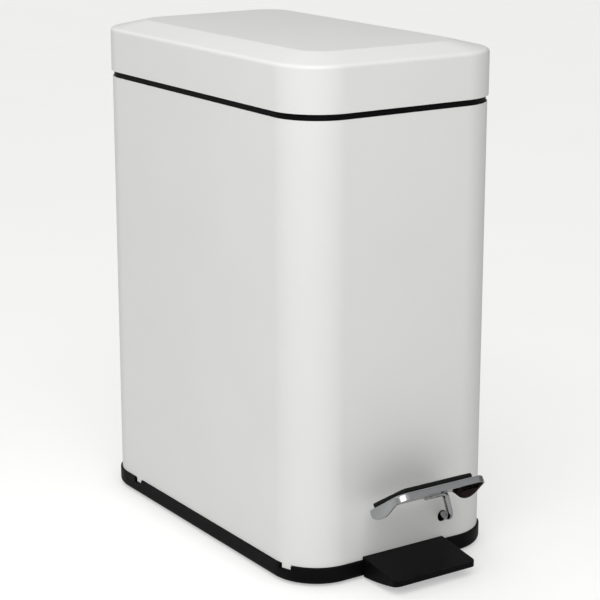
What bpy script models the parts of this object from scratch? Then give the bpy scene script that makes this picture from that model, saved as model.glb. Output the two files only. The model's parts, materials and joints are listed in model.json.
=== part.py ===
"""Pedal trash can with a painted steel body, a lever under an inner bucket and a hinged lid.

Units are metres, +Z is up and the pedal faces -Y. The origin is the middle of the footprint, on the floor.
Sizes are laid out about the body's own centre line, and the root empty shifts them to the origin.
Each moving group hangs from an empty that stands on its joint's axis.
"""
import math

import bmesh
import bpy
from mathutils import Matrix, Vector

MM = 0.001
GAP = 0.3 * MM             # room between pieces that touch
PLAY = 0.3 * MM            # radial room round a pin in its hole
WELD = 0.01 * MM           # points closer than this are one point
CUT = 1.0 * MM             # how far a cutter passes out of what it cuts
STEP = 0.1 * MM            # step between the faces of two shapes that are joined
LEFT_AND_RIGHT = (("left", -1), ("right", 1))

# Body: a sleeve of painted sheet steel
BODY_WIDTH = 138.6 * MM
BODY_DEPTH = 230.0 * MM
BODY_CORNER = 28.0 * MM
BODY_BOTTOM = 11.4 * MM
BODY_TOP = 265.5 * MM
STEEL = 0.6 * MM
CORNER_STEPS = 8

# Lock tabs of the body, bent down into notches of the base
TAB_FROM_FRONT = 19.0 * MM
TAB_FROM_REAR = 43.0 * MM
TAB_WIDTH = 6.0 * MM
TAB_DROP = 2.8 * MM
NOTCH_ROOM = 1.0 * MM

# Base tray and its rubber pads
BASE_BOTTOM = 1.2 * MM
BASE_PROUD = 1.25 * MM
BASE_ROUND = 3.0 * MM
BASE_CHAMFER = 0.3 * MM
FLOOR_THICKNESS = 2.8 * MM
LIP_HEIGHT = 7.0 * MM
LIP_THICKNESS = 1.5 * MM
PAD_RADIUS = 7.0 * MM
PAD_THICKNESS = 1.7 * MM
PAD_INSET_X = 21.0 * MM
PAD_INSET_Y = 23.0 * MM

# Front foot: the toe plate that stops the can tipping
FOOT_WIDTH = 57.0 * MM
FOOT_REACH = 33.0 * MM
FOOT_REAR_TOP = 13.6 * MM
FOOT_FRONT_TOP = 9.0 * MM
FOOT_FRONT_BOTTOM = 6.0 * MM
FOOT_REAR_BOTTOM = 1.6 * MM
FOOT_CORNER = 4.0 * MM
FOOT_EDGE = 0.6 * MM
FOOT_SAG = 1.6             # exponent of the arch under the foot

# Lid: a steel shell with a plastic liner
LID_GAP = 3.5 * MM         # height of the dark line between body and lid
LID_SKIRT = 25.8 * MM
LID_RISE = 5.2 * MM        # height of the sloped border
LID_BORDER = 19.7 * MM     # width of the sloped border
LID_PROUD = 0.7 * MM
LID_TOP_CORNER = 16.0 * MM
LID_SOFT_EDGE = 2.0 * MM
LINER_THICKNESS = 1.4 * MM
LINER_HEIGHT = 20.0 * MM
LINER_RAISE = 1.0 * MM
LINER_CHAMFER = 2.1 * MM
LID_NOTCH_HEIGHT = 6.0 * MM
LID_NOTCH_ROOM = 2.0 * MM

# Top collar
COLLAR_RECESS = 0.8 * MM
COLLAR_THICKNESS = 2.4 * MM
COLLAR_WIDTH = 6.7 * MM
COLLAR_PLUG = 15.0 * MM
COLLAR_PLUG_WALL = 1.6 * MM
COLLAR_REAR_BAR = 3.6 * MM
CROSSBAR = 3.8 * MM
BUMPER_WIDTH = 10.0 * MM
BUMPER_FROM_CORNER = 6.0 * MM

# Hinge behind the rear wall
HINGE_BEHIND = 6.0 * MM
HINGE_ABOVE = 0.5 * MM
PIN_RADIUS = 1.5 * MM
EYE_RADIUS = 4.2 * MM
EAR_INNER = 14.0 * MM
EAR_WIDTH = 6.0 * MM
CLIP_THICKNESS = 0.8 * MM
CLIP_WIDTH = 1.5 * MM
PIN_END = 1.5 * MM         # pin or axle left outside its clip
EAR_ROOT = 4.0 * MM        # how far the ears' arms reach in over the collar
LID_ARM_HEIGHT = 3.9 * MM
LID_OPENS = math.radians(80)

# Lift lug on the lid and the lift rod that pushes it
LIFT_RADIUS = 30.0 * MM
LIFT_ROD_RADIUS = 1.5 * MM
LIFT_ROD_BEND = 1.7 * MM
LUG_THICKNESS = 3.0 * MM
LUG_WALL = 2.2 * MM
LUG_FROM_ROD = 1.2 * MM    # between the lug and the upright rod
ROD_END = 2.0 * MM
LUG_SIDE_PLAY = 1.5 * MM   # room across the slot for the rod's straight path
LUG_ROOM = 2.0 * MM        # room round the lug in the collar
LIFT_FOOT_RADIUS = 5.0 * MM
LIFT_FOOT_HEIGHT = 7.0 * MM
LIFT_FOOT_FLOOR = 2.2 * MM
LIFT_FOOT_EDGE = 0.8 * MM
GUIDE_HEIGHT = 8.0 * MM
GUIDE_WIDTH = 12.0 * MM
GUIDE_LEVELS = (("lower", 74.0 * MM), ("upper", 205.0 * MM))
RIVET_HEAD_RADIUS = 3.0 * MM
RIVET_HEAD = 1.0 * MM
RIVET_LENGTH = 7.0 * MM

# Lever, its pivot and the pedal rod
ROD_RADIUS = 2.0 * MM
ROD_X = 28.6 * MM
ROD_HEIGHT = 26.8 * MM
ROD_OUT = 8.6 * MM         # from the front wall to the bend
ROD_IN = 34.0 * MM         # from the front wall to the end inside
ROD_BEND = 4.0 * MM
SLOT_WIDTH = 6.5 * MM
SLOT_ROOM = 0.5 * MM       # above and below the rod at its limits
PIVOT_BEHIND = 9.0 * MM
PIVOT_HEIGHT = 35.0 * MM
AXLE_RADIUS = 2.0 * MM
HUB_RADIUS = 4.5 * MM
LEVER_THICKNESS = 2.5 * MM
LEVER_FRONT_RADIUS = 7.6 * MM
LEVER_REAR_RADIUS = 3.5 * MM
LEVER_REAR_HEIGHT = 9.0 * MM
EAR_SPAN = 14.7 * MM       # between the bracket's ears
EARS_FROM_LEVER = 2.9 * MM
AXLE_HEAD = 1.6 * MM
BRACKET_METAL = 2.0 * MM
BRACKET_EAR_RADIUS = 6.0 * MM
BRACKET_WIDTH = 36.0 * MM
BRACKET_DEPTH = 14.0 * MM
BRACKET_FRONT = 3.0 * MM   # of the pivot
SCREW_RADIUS = 1.4 * MM
SCREW_HEAD_RADIUS = 3.1 * MM
SCREW_HEAD = 1.8 * MM
SCREW_INSET = 4.2 * MM

# Pedal tray and its rubber pad
PEDAL_TILT = math.radians(33.7)
PEDAL_REAR_OUT = 8.2 * MM  # from the front wall to the tray's rear edge
PEDAL_REAR_HEIGHT = 44.1 * MM
PEDAL_LENGTH = 34.2 * MM
PEDAL_WIDTH = 62.0 * MM
PEDAL_CORNER = 7.0 * MM
PEDAL_METAL = 0.8 * MM
FLANGE_DEPTH = 4.1 * MM
LOBE_DEPTH = 7.8 * MM
LOBE_PEAK = 12.0 * MM      # distance of the lobe's deepest point from the rear edge
TREAD_THICKNESS = 3.3 * MM
TREAD_FRONT_WIDTH = 49.0 * MM
TREAD_REAR_WIDTH = 57.0 * MM
TREAD_FRONT_INSET = 4.0 * MM
TREAD_REAR_INSET = 1.5 * MM
TREAD_EDGE = 0.8 * MM
WELD_X = 11.0 * MM         # inner end of the rod's run behind the tray
WELD_OUT = 5.9 * MM
WELD_HEIGHT = 43.0 * MM

# Inner bucket and its handle
BUCKET_WALL = 1.2 * MM
BUCKET_ROOM = 0.8 * MM
BUCKET_BOTTOM = 56.0 * MM
BUCKET_TAPER = 4.0 * MM
BUCKET_ROUND = 6.0 * MM
BUCKET_RIM = 3.6 * MM
HANDLE_RADIUS = 1.5 * MM
HANDLE_DROP = 10.5 * MM    # below the bucket's rim
HANDLE_INSET = 3.3 * MM
HANDLE_FRONT = 7.5 * MM
HANDLE_BEND = 2.2 * MM
HANDLE_CORNER = 16.0 * MM
GRIP_RADIUS = 4.0 * MM
GRIP_LENGTH = 60.0 * MM
LEDGE_WIDTH = 5.0 * MM      # moulded ledges that the folded handle rests on
LEDGE_HEIGHT = 3.0 * MM
LEDGE_X = 36.0 * MM
LEDGE_ROOT = 0.8 * MM

# Places that follow from the sizes, about the body's centre
FRONT = -BODY_DEPTH / 2
REAR = BODY_DEPTH / 2
TAB_PLACES = (FRONT + TAB_FROM_FRONT, REAR - TAB_FROM_REAR)
BASE_TOP = BODY_BOTTOM - GAP
FLOOR_TOP = BASE_BOTTOM + FLOOR_THICKNESS
COLLAR_BOTTOM = BODY_TOP + GAP
COLLAR_TOP = COLLAR_BOTTOM + COLLAR_THICKNESS
LID_BOTTOM = BODY_TOP + LID_GAP
LID_CREASE = LID_BOTTOM + LID_SKIRT
LID_TOP = LID_CREASE + LID_RISE
LINER_BOTTOM = LID_BOTTOM + LINER_RAISE
LINER_TOP = LINER_BOTTOM + LINER_HEIGHT + LINER_THICKNESS
LINER_GROW = LID_PROUD - STEEL - GAP - STEP
HINGE_Y = REAR + HINGE_BEHIND
HINGE_Z = BODY_TOP + HINGE_ABOVE
LIFT_HALF = LID_OPENS / 2  # the lift point swings this far below and above the hinge
LIFT_Y = HINGE_Y - LIFT_RADIUS * math.cos(LIFT_HALF)
LIFT_Z = HINGE_Z - LIFT_RADIUS * math.sin(LIFT_HALF)
LIFT_NEAR = LIFT_RADIUS * math.cos(LIFT_HALF)
LIFT_TRAVEL = 2 * LIFT_RADIUS * math.sin(LIFT_HALF)
LUG_OUTER = LIFT_RADIUS + LIFT_ROD_RADIUS + LUG_SIDE_PLAY + LUG_WALL
SLOT_FRONT = HINGE_Y - LUG_OUTER - LUG_ROOM / 2
SLOT_REAR = REAR - COLLAR_RECESS - COLLAR_REAR_BAR
OPENING_REAR = SLOT_FRONT - CROSSBAR
PIVOT_Y = FRONT + PIVOT_BEHIND
LEVER_X = ROD_X + ROD_RADIUS + GAP + LEVER_THICKNESS / 2
LEVER_LENGTH = math.hypot(LIFT_Y - PIVOT_Y, PIVOT_HEIGHT - LEVER_REAR_HEIGHT)
LEVER_SLOPE = math.asin((PIVOT_HEIGHT - LEVER_REAR_HEIGHT) / LEVER_LENGTH)
LEVER_TOP_SLOPE = LEVER_SLOPE + math.asin((LEVER_FRONT_RADIUS - LEVER_REAR_RADIUS) / LEVER_LENGTH)
LEVER_REAR_TOP = LEVER_REAR_HEIGHT + LEVER_REAR_RADIUS / math.cos(LEVER_TOP_SLOPE)
LIFT_FOOT_BOTTOM = LEVER_REAR_TOP + LIFT_FOOT_RADIUS * math.tan(LEVER_TOP_SLOPE) + GAP
LUG_X = LEVER_X - LIFT_ROD_RADIUS - LUG_FROM_ROD - LUG_THICKNESS / 2
ROD_END_X = LUG_X - LUG_THICKNESS / 2 - CLIP_THICKNESS - ROD_END
EARS_CENTRE_X = LEVER_X - EARS_FROM_LEVER
BUCKET_GROW = -(COLLAR_RECESS + COLLAR_WIDTH + BUCKET_ROOM)
BUCKET_TOP = COLLAR_TOP + GAP
BUCKET_REAR = OPENING_REAR - BUCKET_ROOM
HANDLE_Z = BUCKET_TOP - HANDLE_DROP
PEDAL_REAR_Y = FRONT - PEDAL_REAR_OUT
PEDAL_REACH = PEDAL_LENGTH * math.cos(PEDAL_TILT) + FLANGE_DEPTH * math.sin(PEDAL_TILT)
FRONT_MOST = PEDAL_REAR_Y - PEDAL_REACH
REAR_MOST = HINGE_Y + EYE_RADIUS
BODY_SHIFT = -(FRONT_MOST + REAR_MOST) / 2


# ---------------------------------------------------------------- scene and materials

def clear_scene():
    for old in list(bpy.data.objects):
        bpy.data.objects.remove(old, do_unlink=True)


def collection(name):
    group = bpy.data.collections.new(name)
    bpy.context.scene.collection.children.link(group)
    return group


def finish(name, colour, roughness, metallic=0.0):
    """A Principled material with one colour."""
    material = bpy.data.materials.new(name)
    material.use_nodes = True
    shader = material.node_tree.nodes["Principled BSDF"]
    shader.inputs["Base Color"].default_value = (*colour, 1.0)
    shader.inputs["Roughness"].default_value = roughness
    shader.inputs["Metallic"].default_value = metallic
    return material


def painted(obj, colour, roughness, metallic=0.0):
    obj.data.materials.clear()
    obj.data.materials.append(finish(obj.name, colour, roughness, metallic))
    return obj


# ---------------------------------------------------------------- outlines

def arc(centre, radius, start, end, steps):
    """Points along a circle's arc, angles in radians."""
    cx, cy = centre
    angles = [start + (end - start) * i / steps for i in range(steps + 1)]
    return [(cx + radius * math.cos(a), cy + radius * math.sin(a)) for a in angles]


def circle(centre, radius, steps=20):
    return arc(centre, radius, 0, math.tau, steps)[:-1]


def rounded_rectangle(x0, x1, y0, y1, radius, steps=CORNER_STEPS):
    """Anticlockwise outline with the same number of points in each corner."""
    quarter = math.pi / 2
    corners = ((x1, y1, -1, -1, 0), (x0, y1, 1, -1, 1), (x0, y0, 1, 1, 2), (x1, y0, -1, 1, 3))
    points = []
    for x, y, inward_x, inward_y, turn in corners:
        centre = (x + inward_x * radius, y + inward_y * radius)
        points += arc(centre, radius, turn * quarter, (turn + 1) * quarter, steps)
    return points


def body_outline(grow, radius=None, rear=None):
    """The body's outline grown by a distance, with an optional corner radius and rear edge."""
    half = BODY_WIDTH / 2 + grow
    radius = BODY_CORNER + grow if radius is None else radius
    return rounded_rectangle(-half, half, FRONT - grow, REAR + grow if rear is None else rear, radius)


def side_x(y, grow=0.0):
    """X of the body's right side at a place along its depth, following the rounded corners."""
    into_corner = max(0, abs(y) - (BODY_DEPTH / 2 - BODY_CORNER))
    return BODY_WIDTH / 2 - BODY_CORNER + math.sqrt((BODY_CORNER + grow) ** 2 - into_corner ** 2)


def link_outline(p, p_radius, q, q_radius, steps=10):
    """Two circles joined by their outer tangents."""
    along = Vector(q) - Vector(p)
    heading = math.atan2(along.y, along.x)
    lean = math.acos((p_radius - q_radius) / along.length)
    far = arc(q, q_radius, heading - lean, heading + lean, steps)
    near = arc(p, p_radius, heading + lean, heading + math.tau - lean, steps)
    return far + near


def bent_path(points, radius, steps=5):
    """A path whose inner corners are rounded; radius is one value or one for each corner."""
    corners = [Vector(p) for p in points]
    radii = radius if isinstance(radius, (list, tuple)) else [radius] * (len(corners) - 2)
    path = [corners[0]]
    for before, corner, after, bend in zip(corners, corners[1:], corners[2:], radii):
        u = (before - corner).normalized()
        v = (after - corner).normalized()
        half = u.angle(v) / 2
        middle = corner + (u + v).normalized() * (bend / math.sin(half))
        start = corner + u * (bend / math.tan(half)) - middle
        end = corner + v * (bend / math.tan(half)) - middle
        for i in range(steps + 1):
            path.append(middle + start.slerp(end, i / steps).normalized() * bend)
    path.append(corners[-1])
    return path


# ---------------------------------------------------------------- shapes

TURN_TO = {
    "Z": Matrix.Identity(4),
    "X": Matrix(((0, 0, 1, 0), (1, 0, 0, 0), (0, 1, 0, 0), (0, 0, 0, 1))),
    "Y": Matrix(((1, 0, 0, 0), (0, 0, -1, 0), (0, 1, 0, 0), (0, 0, 0, 1))),
}


def object_from(name, mesh, group):
    mesh.name = name
    obj = bpy.data.objects.new(name, mesh)
    group.objects.link(obj)
    return obj


def mesh_of_curve(name, curve, group, place=Matrix.Identity(4)):
    """A curve turned into a welded mesh object."""
    source = bpy.data.objects.new(name + "_curve", curve)
    group.objects.link(source)
    graph = bpy.context.evaluated_depsgraph_get()
    mesh = bpy.data.meshes.new_from_object(source.evaluated_get(graph))
    mesh.transform(place)
    bpy.data.objects.remove(source, do_unlink=True)
    weld = bmesh.new()
    weld.from_mesh(mesh)
    bmesh.ops.remove_doubles(weld, verts=weld.verts, dist=WELD)
    bmesh.ops.recalc_face_normals(weld, faces=weld.faces)
    weld.to_mesh(mesh)
    weld.free()
    return object_from(name, mesh, group)


def slab(name, outlines, axis, start, end, group):
    """A flat outline, with any further outlines as holes, from start to end along an axis.

    The outline's own two axes are (X, Y) for Z, (Y, Z) for X and (X, Z) for Y.
    """
    curve = bpy.data.curves.new(name, "CURVE")
    curve.dimensions = "2D"
    curve.fill_mode = "BOTH"
    curve.extrude = (end - start) / 2
    for outline in outlines:
        spline = curve.splines.new("POLY")
        spline.points.add(len(outline) - 1)
        for point, (u, v) in zip(spline.points, outline):
            point.co = (u, v, 0, 1)
        spline.use_cyclic_u = True
    middle = (start + end) / 2 if axis != "Y" else -(start + end) / 2
    return mesh_of_curve(name, curve, group, TURN_TO[axis] @ Matrix.Translation((0, 0, middle)))


def box(name, x, y, z, group):
    """A box between pairs of limits."""
    body = bmesh.new()
    size = Matrix.Diagonal((x[1] - x[0], y[1] - y[0], z[1] - z[0], 1))
    middle = Matrix.Translation((sum(x) / 2, sum(y) / 2, sum(z) / 2))
    bmesh.ops.create_cube(body, size=1, matrix=middle @ size)
    mesh = bpy.data.meshes.new(name)
    body.to_mesh(mesh)
    body.free()
    return object_from(name, mesh, group)


def round_bar(name, axis, centre, radius, start, end, group, steps=20):
    """A cylinder along an axis; centre holds its two other coordinates, as for a slab."""
    return slab(name, [circle(centre, radius, steps)], axis, start, end, group)


def wire(name, path, radius, group):
    """A round bar along a path."""
    curve = bpy.data.curves.new(name, "CURVE")
    curve.dimensions = "3D"
    curve.bevel_depth = radius
    curve.bevel_resolution = 3
    curve.use_fill_caps = True
    spline = curve.splines.new("POLY")
    spline.points.add(len(path) - 1)
    for point, place in zip(spline.points, path):
        point.co = (*place, 1)
    return mesh_of_curve(name, curve, group)


def loft(name, sections, group, cap_first=False, cap_last=False):
    """Outlines of one point count joined in order; each is (outline, height)."""
    body = bmesh.new()
    rings = [[body.verts.new((x, y, z)) for x, y in outline] for outline, z in sections]
    count = len(rings[0])
    for lower, upper in zip(rings, rings[1:]):
        for i in range(count):
            j = (i + 1) % count
            body.faces.new((lower[i], lower[j], upper[j], upper[i]))
    if cap_first:
        body.faces.new(list(reversed(rings[0])))
    if cap_last:
        body.faces.new(rings[-1])
    mesh = bpy.data.meshes.new(name)
    body.to_mesh(mesh)
    body.free()
    return object_from(name, mesh, group)


def turned(name, profile, place, group, steps=20):
    """A profile of (radius, height) points, outer side first from top to bottom, turned about Z."""
    body = bmesh.new()
    points = [body.verts.new((radius, 0, height)) for radius, height in profile]
    for start, end in zip(points, points[1:]):
        body.edges.new((start, end))
    mesh = bpy.data.meshes.new(name)
    body.to_mesh(mesh)
    body.free()
    profile_object = object_from(name + "_profile", mesh, group)
    screw = profile_object.modifiers.new("turn", "SCREW")
    screw.steps = steps
    screw.render_steps = steps
    screw.use_merge_vertices = True
    screw.merge_threshold = WELD
    graph = bpy.context.evaluated_depsgraph_get()
    solid = bpy.data.meshes.new_from_object(profile_object.evaluated_get(graph))
    bpy.data.objects.remove(profile_object, do_unlink=True)
    solid.transform(place)
    return object_from(name, solid, group)


def boolean(obj, other, operation):
    """Cut with, join or intersect another object, which becomes a hidden guide."""
    modifier = obj.modifiers.new(other.name, "BOOLEAN")
    modifier.operation = operation
    modifier.solver = "EXACT"
    modifier.object = other
    other.hide_render = True
    other.display_type = "WIRE"
    return obj


def solidify(obj, thickness):
    modifier = obj.modifiers.new("wall", "SOLIDIFY")
    modifier.thickness = thickness
    modifier.offset = -1
    modifier.use_even_offset = True
    return obj


def bevel(obj, width, segments=2, angle=40):
    modifier = obj.modifiers.new("edges", "BEVEL")
    modifier.width = width
    modifier.segments = segments
    modifier.limit_method = "ANGLE"
    modifier.angle_limit = math.radians(angle)
    modifier.use_clamp_overlap = True
    return obj


def smooth(obj, angle=35):
    obj.data.shade_smooth()
    obj.data.set_sharp_from_angle(angle=math.radians(angle))
    return obj


# ---------------------------------------------------------------- joints

def joint_empty(name, parent, x=0.0, y=0.0, z=0.0):
    """An empty on a joint's axis, placed about the body's centre."""
    empty = bpy.data.objects.new(name, None)
    parts.objects.link(empty)
    empty.parent = parent
    empty.location = Vector((x, y, z)) - offset_of(parent)
    return empty


def offset_of(empty):
    """Where an empty stands, about the body's centre."""
    place = Vector((0, 0, 0))
    while empty is not None and empty is not root:
        place += empty.location
        empty = empty.parent
    return place


def hang(obj, empty):
    """Parent a finished piece to a joint's empty and move its origin there."""
    away = Matrix.Translation(-offset_of(empty))
    obj.data.transform(away @ obj.matrix_world)
    obj.matrix_world = Matrix.Identity(4)
    obj.parent = empty
    for modifier in obj.modifiers:
        if modifier.type == "BOOLEAN" and modifier.object.parent is None:
            modifier.object.parent = empty
            modifier.object.location = -offset_of(empty)
    return obj


clear_scene()
parts = collection("pedal_trash_can")
cutters = collection("cutters")
root = bpy.data.objects.new("body_centre", None)
parts.objects.link(root)
root.location = (0, BODY_SHIFT, 0)


# ---------------------------------------------------------------- base

def pad_places():
    """Numbered centres of the rubber pads, about the body's centre."""
    x = BODY_WIDTH / 2 - PAD_INSET_X
    y = BODY_DEPTH / 2 - PAD_INSET_Y
    return [("front_left", -x, -y), ("front_right", x, -y), ("rear_left", -x, y), ("rear_right", x, y)]


def screw_places():
    """X of the two screws that hold the pivot bracket."""
    reach = BRACKET_WIDTH / 2 - SCREW_INSET
    return [(side, EARS_CENTRE_X + sign * reach) for side, sign in LEFT_AND_RIGHT]


def make_base_tray():
    inner = -(STEEL + GAP)
    rim = arc((BASE_PROUD - BASE_ROUND, BASE_BOTTOM + BASE_ROUND), BASE_ROUND, -math.pi / 2, 0, 4)
    profile = rim + [
        (BASE_PROUD, BASE_TOP - BASE_CHAMFER),
        (BASE_PROUD - BASE_CHAMFER, BASE_TOP),
        (inner, BASE_TOP),
        (inner, BASE_TOP + LIP_HEIGHT),
        (inner - LIP_THICKNESS, BASE_TOP + LIP_HEIGHT),
        (inner - LIP_THICKNESS, FLOOR_TOP),
    ]
    sections = [(body_outline(grow), z) for grow, z in profile]
    tray = loft("base_tray", sections, parts, cap_first=True, cap_last=True)
    recess_top = PAD_THICKNESS + GAP
    for name, x, y in pad_places():
        centre = (x, y)
        recess = round_bar("pad_recess_" + name, "Z", centre, PAD_RADIUS + GAP, -CUT, recess_top, cutters)
        boolean(tray, recess, "DIFFERENCE")
    for name, x in screw_places():
        centre = (x, PIVOT_Y)
        hole = round_bar("floor_hole_" + name, "Z", centre, SCREW_RADIUS + PLAY, -CUT, BODY_BOTTOM, cutters)
        boolean(tray, hole, "DIFFERENCE")
    half = TAB_WIDTH / 2 + NOTCH_ROOM
    notch_floor = BODY_BOTTOM - TAB_DROP - GAP
    for side, sign in LEFT_AND_RIGHT:
        for i, y in enumerate(TAB_PLACES):
            inside = side_x(abs(y) + half, inner) - GAP
            edges = sorted((sign * inside, sign * (BODY_WIDTH / 2 + 2 * BASE_PROUD)))
            name = f"tab_notch_{side}_{i}"
            notch = box(name, edges, (y - half, y + half), (notch_floor, BODY_BOTTOM + CUT), cutters)
            boolean(tray, notch, "DIFFERENCE")
    return painted(smooth(tray), (0.012, 0.012, 0.013), 0.45)


def make_rubber_pads():
    pads = []
    for name, x, y in pad_places():
        pad = round_bar("rubber_pad_" + name, "Z", (x, y), PAD_RADIUS, 0, PAD_THICKNESS, parts, steps=24)
        pads.append(painted(smooth(pad), (0.02, 0.02, 0.02), 0.8))
    return pads


def make_front_foot():
    rear = FRONT - BASE_PROUD - GAP
    front = FRONT - FOOT_REACH
    step = BASE_TOP + 2 * GAP
    under = []
    for i in range(5):
        share = i / 4
        sag = (FOOT_FRONT_BOTTOM - FOOT_REAR_BOTTOM) * (1 - share) ** FOOT_SAG
        under.append((front + (rear - front) * share, FOOT_REAR_BOTTOM + sag))
    side = under + [
        (rear, step),
        (FRONT - GAP, step),
        (FRONT - GAP, FOOT_REAR_TOP),
        (front, FOOT_FRONT_TOP),
    ]
    half = FOOT_WIDTH / 2
    foot = slab("front_foot", [side], "X", -half, half, parts)
    quarter = math.pi / 2
    right = arc((half - FOOT_CORNER, front + FOOT_CORNER), FOOT_CORNER, -quarter, 0, 5)
    left = arc((-half + FOOT_CORNER, front + FOOT_CORNER), FOOT_CORNER, 2 * quarter, 3 * quarter, 5)
    plan = left + right + [(half, FRONT + CUT), (-half, FRONT + CUT)]
    boolean(foot, slab("foot_plan", [plan], "Z", -CUT, 2 * FOOT_REAR_TOP, cutters), "INTERSECT")
    bevel(foot, FOOT_EDGE, segments=2)
    return painted(smooth(foot), (0.012, 0.012, 0.013), 0.4)


# ---------------------------------------------------------------- body shell

def rod_slot():
    """Height limits of the slot that the pedal rod moves in, with room above and below."""
    turn = pedal_turn()
    y, z = FRONT - PIVOT_Y, ROD_HEIGHT - PIVOT_HEIGHT
    low_y = y * math.cos(turn) - z * math.sin(turn)
    low_z = y * math.sin(turn) + z * math.cos(turn)
    at_wall = PIVOT_HEIGHT + low_z - (low_y - y) * math.tan(turn)
    room = ROD_RADIUS / math.cos(turn) + SLOT_ROOM
    return at_wall - room, ROD_HEIGHT + room


def pedal_turn():
    """Angle that the lever turns to raise the lift rod by its whole travel."""
    raised = math.asin((LEVER_REAR_HEIGHT + LIFT_TRAVEL - PIVOT_HEIGHT) / LEVER_LENGTH)
    return raised + LEVER_SLOPE


def make_body_shell():
    loops = [body_outline(0), body_outline(-STEEL)]
    shell = slab("body_shell", loops, "Z", BODY_BOTTOM - TAB_DROP, BODY_TOP, parts)
    wide = BODY_WIDTH / 2 + BODY_CORNER
    deep = BODY_DEPTH / 2 + BODY_CORNER
    trim = [[(-wide, -deep), (wide, -deep), (wide, deep), (-wide, deep)]]
    half = TAB_WIDTH / 2
    for side, sign in LEFT_AND_RIGHT:
        for y in TAB_PLACES:
            inside = side_x(abs(y) + half, -STEEL) - CUT
            x0, x1 = sorted((sign * inside, sign * (BODY_WIDTH / 2 + CUT)))
            trim.append([(x0, y - half), (x0, y + half), (x1, y + half), (x1, y - half)])
    below = slab("bottom_trim", trim, "Z", 0, BODY_BOTTOM, cutters)
    boolean(shell, below, "DIFFERENCE")
    low, high = rod_slot()
    radius = SLOT_WIDTH / 2
    top = arc((ROD_X, high - radius), radius, 0, math.pi, 8)
    bottom = arc((ROD_X, low + radius), radius, math.pi, math.tau, 8)
    slot = slab("rod_slot", [top + bottom], "Y", FRONT - CUT, FRONT + STEEL + CUT, cutters)
    boolean(shell, slot, "DIFFERENCE")
    for name, level in GUIDE_LEVELS:
        centre = (LEVER_X, level)
        reach = (REAR - STEEL - CUT, REAR + CUT)
        hole = round_bar("shell_hole_" + name, "Y", centre, LIFT_ROD_RADIUS + PLAY, *reach, cutters)
        boolean(shell, hole, "DIFFERENCE")
    return painted(smooth(shell), (0.80, 0.80, 0.79), 0.35)


# ---------------------------------------------------------------- collar and hinge

def hinge_eye(name, x0, x1, group):
    """An eye round the hinge pin, still without its hole."""
    return round_bar(name, "X", (HINGE_Y, HINGE_Z), EYE_RADIUS, x0, x1, group, steps=24)


def pin_hole(name, group):
    reach = lug_reach() + CUT
    return round_bar(name, "X", (HINGE_Y, HINGE_Z), PIN_RADIUS + PLAY, -reach, reach, group, steps=24)


def make_collar():
    outer = -COLLAR_RECESS
    inner = outer - COLLAR_WIDTH
    opening = body_outline(inner, rear=OPENING_REAR)
    slot_x = (ROD_END_X - LUG_ROOM / 2, LEVER_X + LIFT_ROD_RADIUS + LUG_ROOM / 2)
    slot = [(slot_x[0], SLOT_FRONT), (slot_x[1], SLOT_FRONT), (slot_x[1], SLOT_REAR), (slot_x[0], SLOT_REAR)]
    collar = slab("top_collar", [body_outline(outer), opening, slot], "Z", COLLAR_BOTTOM, COLLAR_TOP, parts)
    plug_outer = -(STEEL + GAP)
    loops = [body_outline(plug_outer), body_outline(plug_outer - COLLAR_PLUG_WALL)]
    overlap = COLLAR_THICKNESS / 2
    plug = slab("collar_plug", loops, "Z", COLLAR_TOP - COLLAR_PLUG, COLLAR_BOTTOM + overlap, cutters)
    boolean(collar, plug, "UNION")
    for side, sign in LEFT_AND_RIGHT:
        x0, x1 = sorted((sign * EAR_INNER, sign * (EAR_INNER + EAR_WIDTH)))
        arm_z = (COLLAR_BOTTOM + 2 * STEP, COLLAR_TOP - 2 * STEP)
        arm = box("ear_arm_" + side, (x0, x1), (REAR - EAR_ROOT, HINGE_Y), arm_z, cutters)
        boolean(collar, arm, "UNION")
        boolean(collar, hinge_eye("ear_eye_" + side, x0 - STEP, x1 + STEP, cutters), "UNION")
    boolean(collar, pin_hole("ear_hole", cutters), "DIFFERENCE")
    return painted(smooth(collar), (0.01, 0.01, 0.011), 0.5)


def lug_reach():
    """Outer X of the lid's hinge lugs."""
    return EAR_INNER + 2 * EAR_WIDTH + 2 * GAP


def make_hinge_pin():
    end = lug_reach() + GAP + CLIP_THICKNESS + PIN_END
    pin = round_bar("hinge_pin", "X", (HINGE_Y, HINGE_Z), PIN_RADIUS, -end, end, parts)
    return painted(smooth(pin), (0.55, 0.55, 0.56), 0.3, 1.0)


def make_clip(name, centre, pin_radius, start, sign):
    """A retaining ring on a pin along X, from start outwards."""
    ends = sorted((start, start + sign * CLIP_THICKNESS))
    loops = [circle(centre, pin_radius + CLIP_WIDTH), circle(centre, pin_radius + PLAY)]
    ring = slab(name, loops, "X", *ends, parts)
    return painted(smooth(ring), (0.4, 0.4, 0.41), 0.35, 1.0)


def make_lid_bumpers():
    """Two small rubber blocks that the liner's edge lands on."""
    bumpers = []
    y0 = FRONT + COLLAR_RECESS + STEP
    y1 = FRONT - BUCKET_GROW - BUCKET_RIM - GAP
    place = BODY_WIDTH / 2 - BODY_CORNER - BUMPER_FROM_CORNER
    for side, sign in LEFT_AND_RIGHT:
        x = (sign * place - BUMPER_WIDTH / 2, sign * place + BUMPER_WIDTH / 2)
        z = (COLLAR_TOP + GAP, LINER_BOTTOM - GAP)
        bumper = box("lid_bumper_" + side, x, (y0, y1), z, parts)
        bumpers.append(painted(bumper, (0.02, 0.02, 0.02), 0.8))
    return bumpers


# ---------------------------------------------------------------- lid

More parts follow.
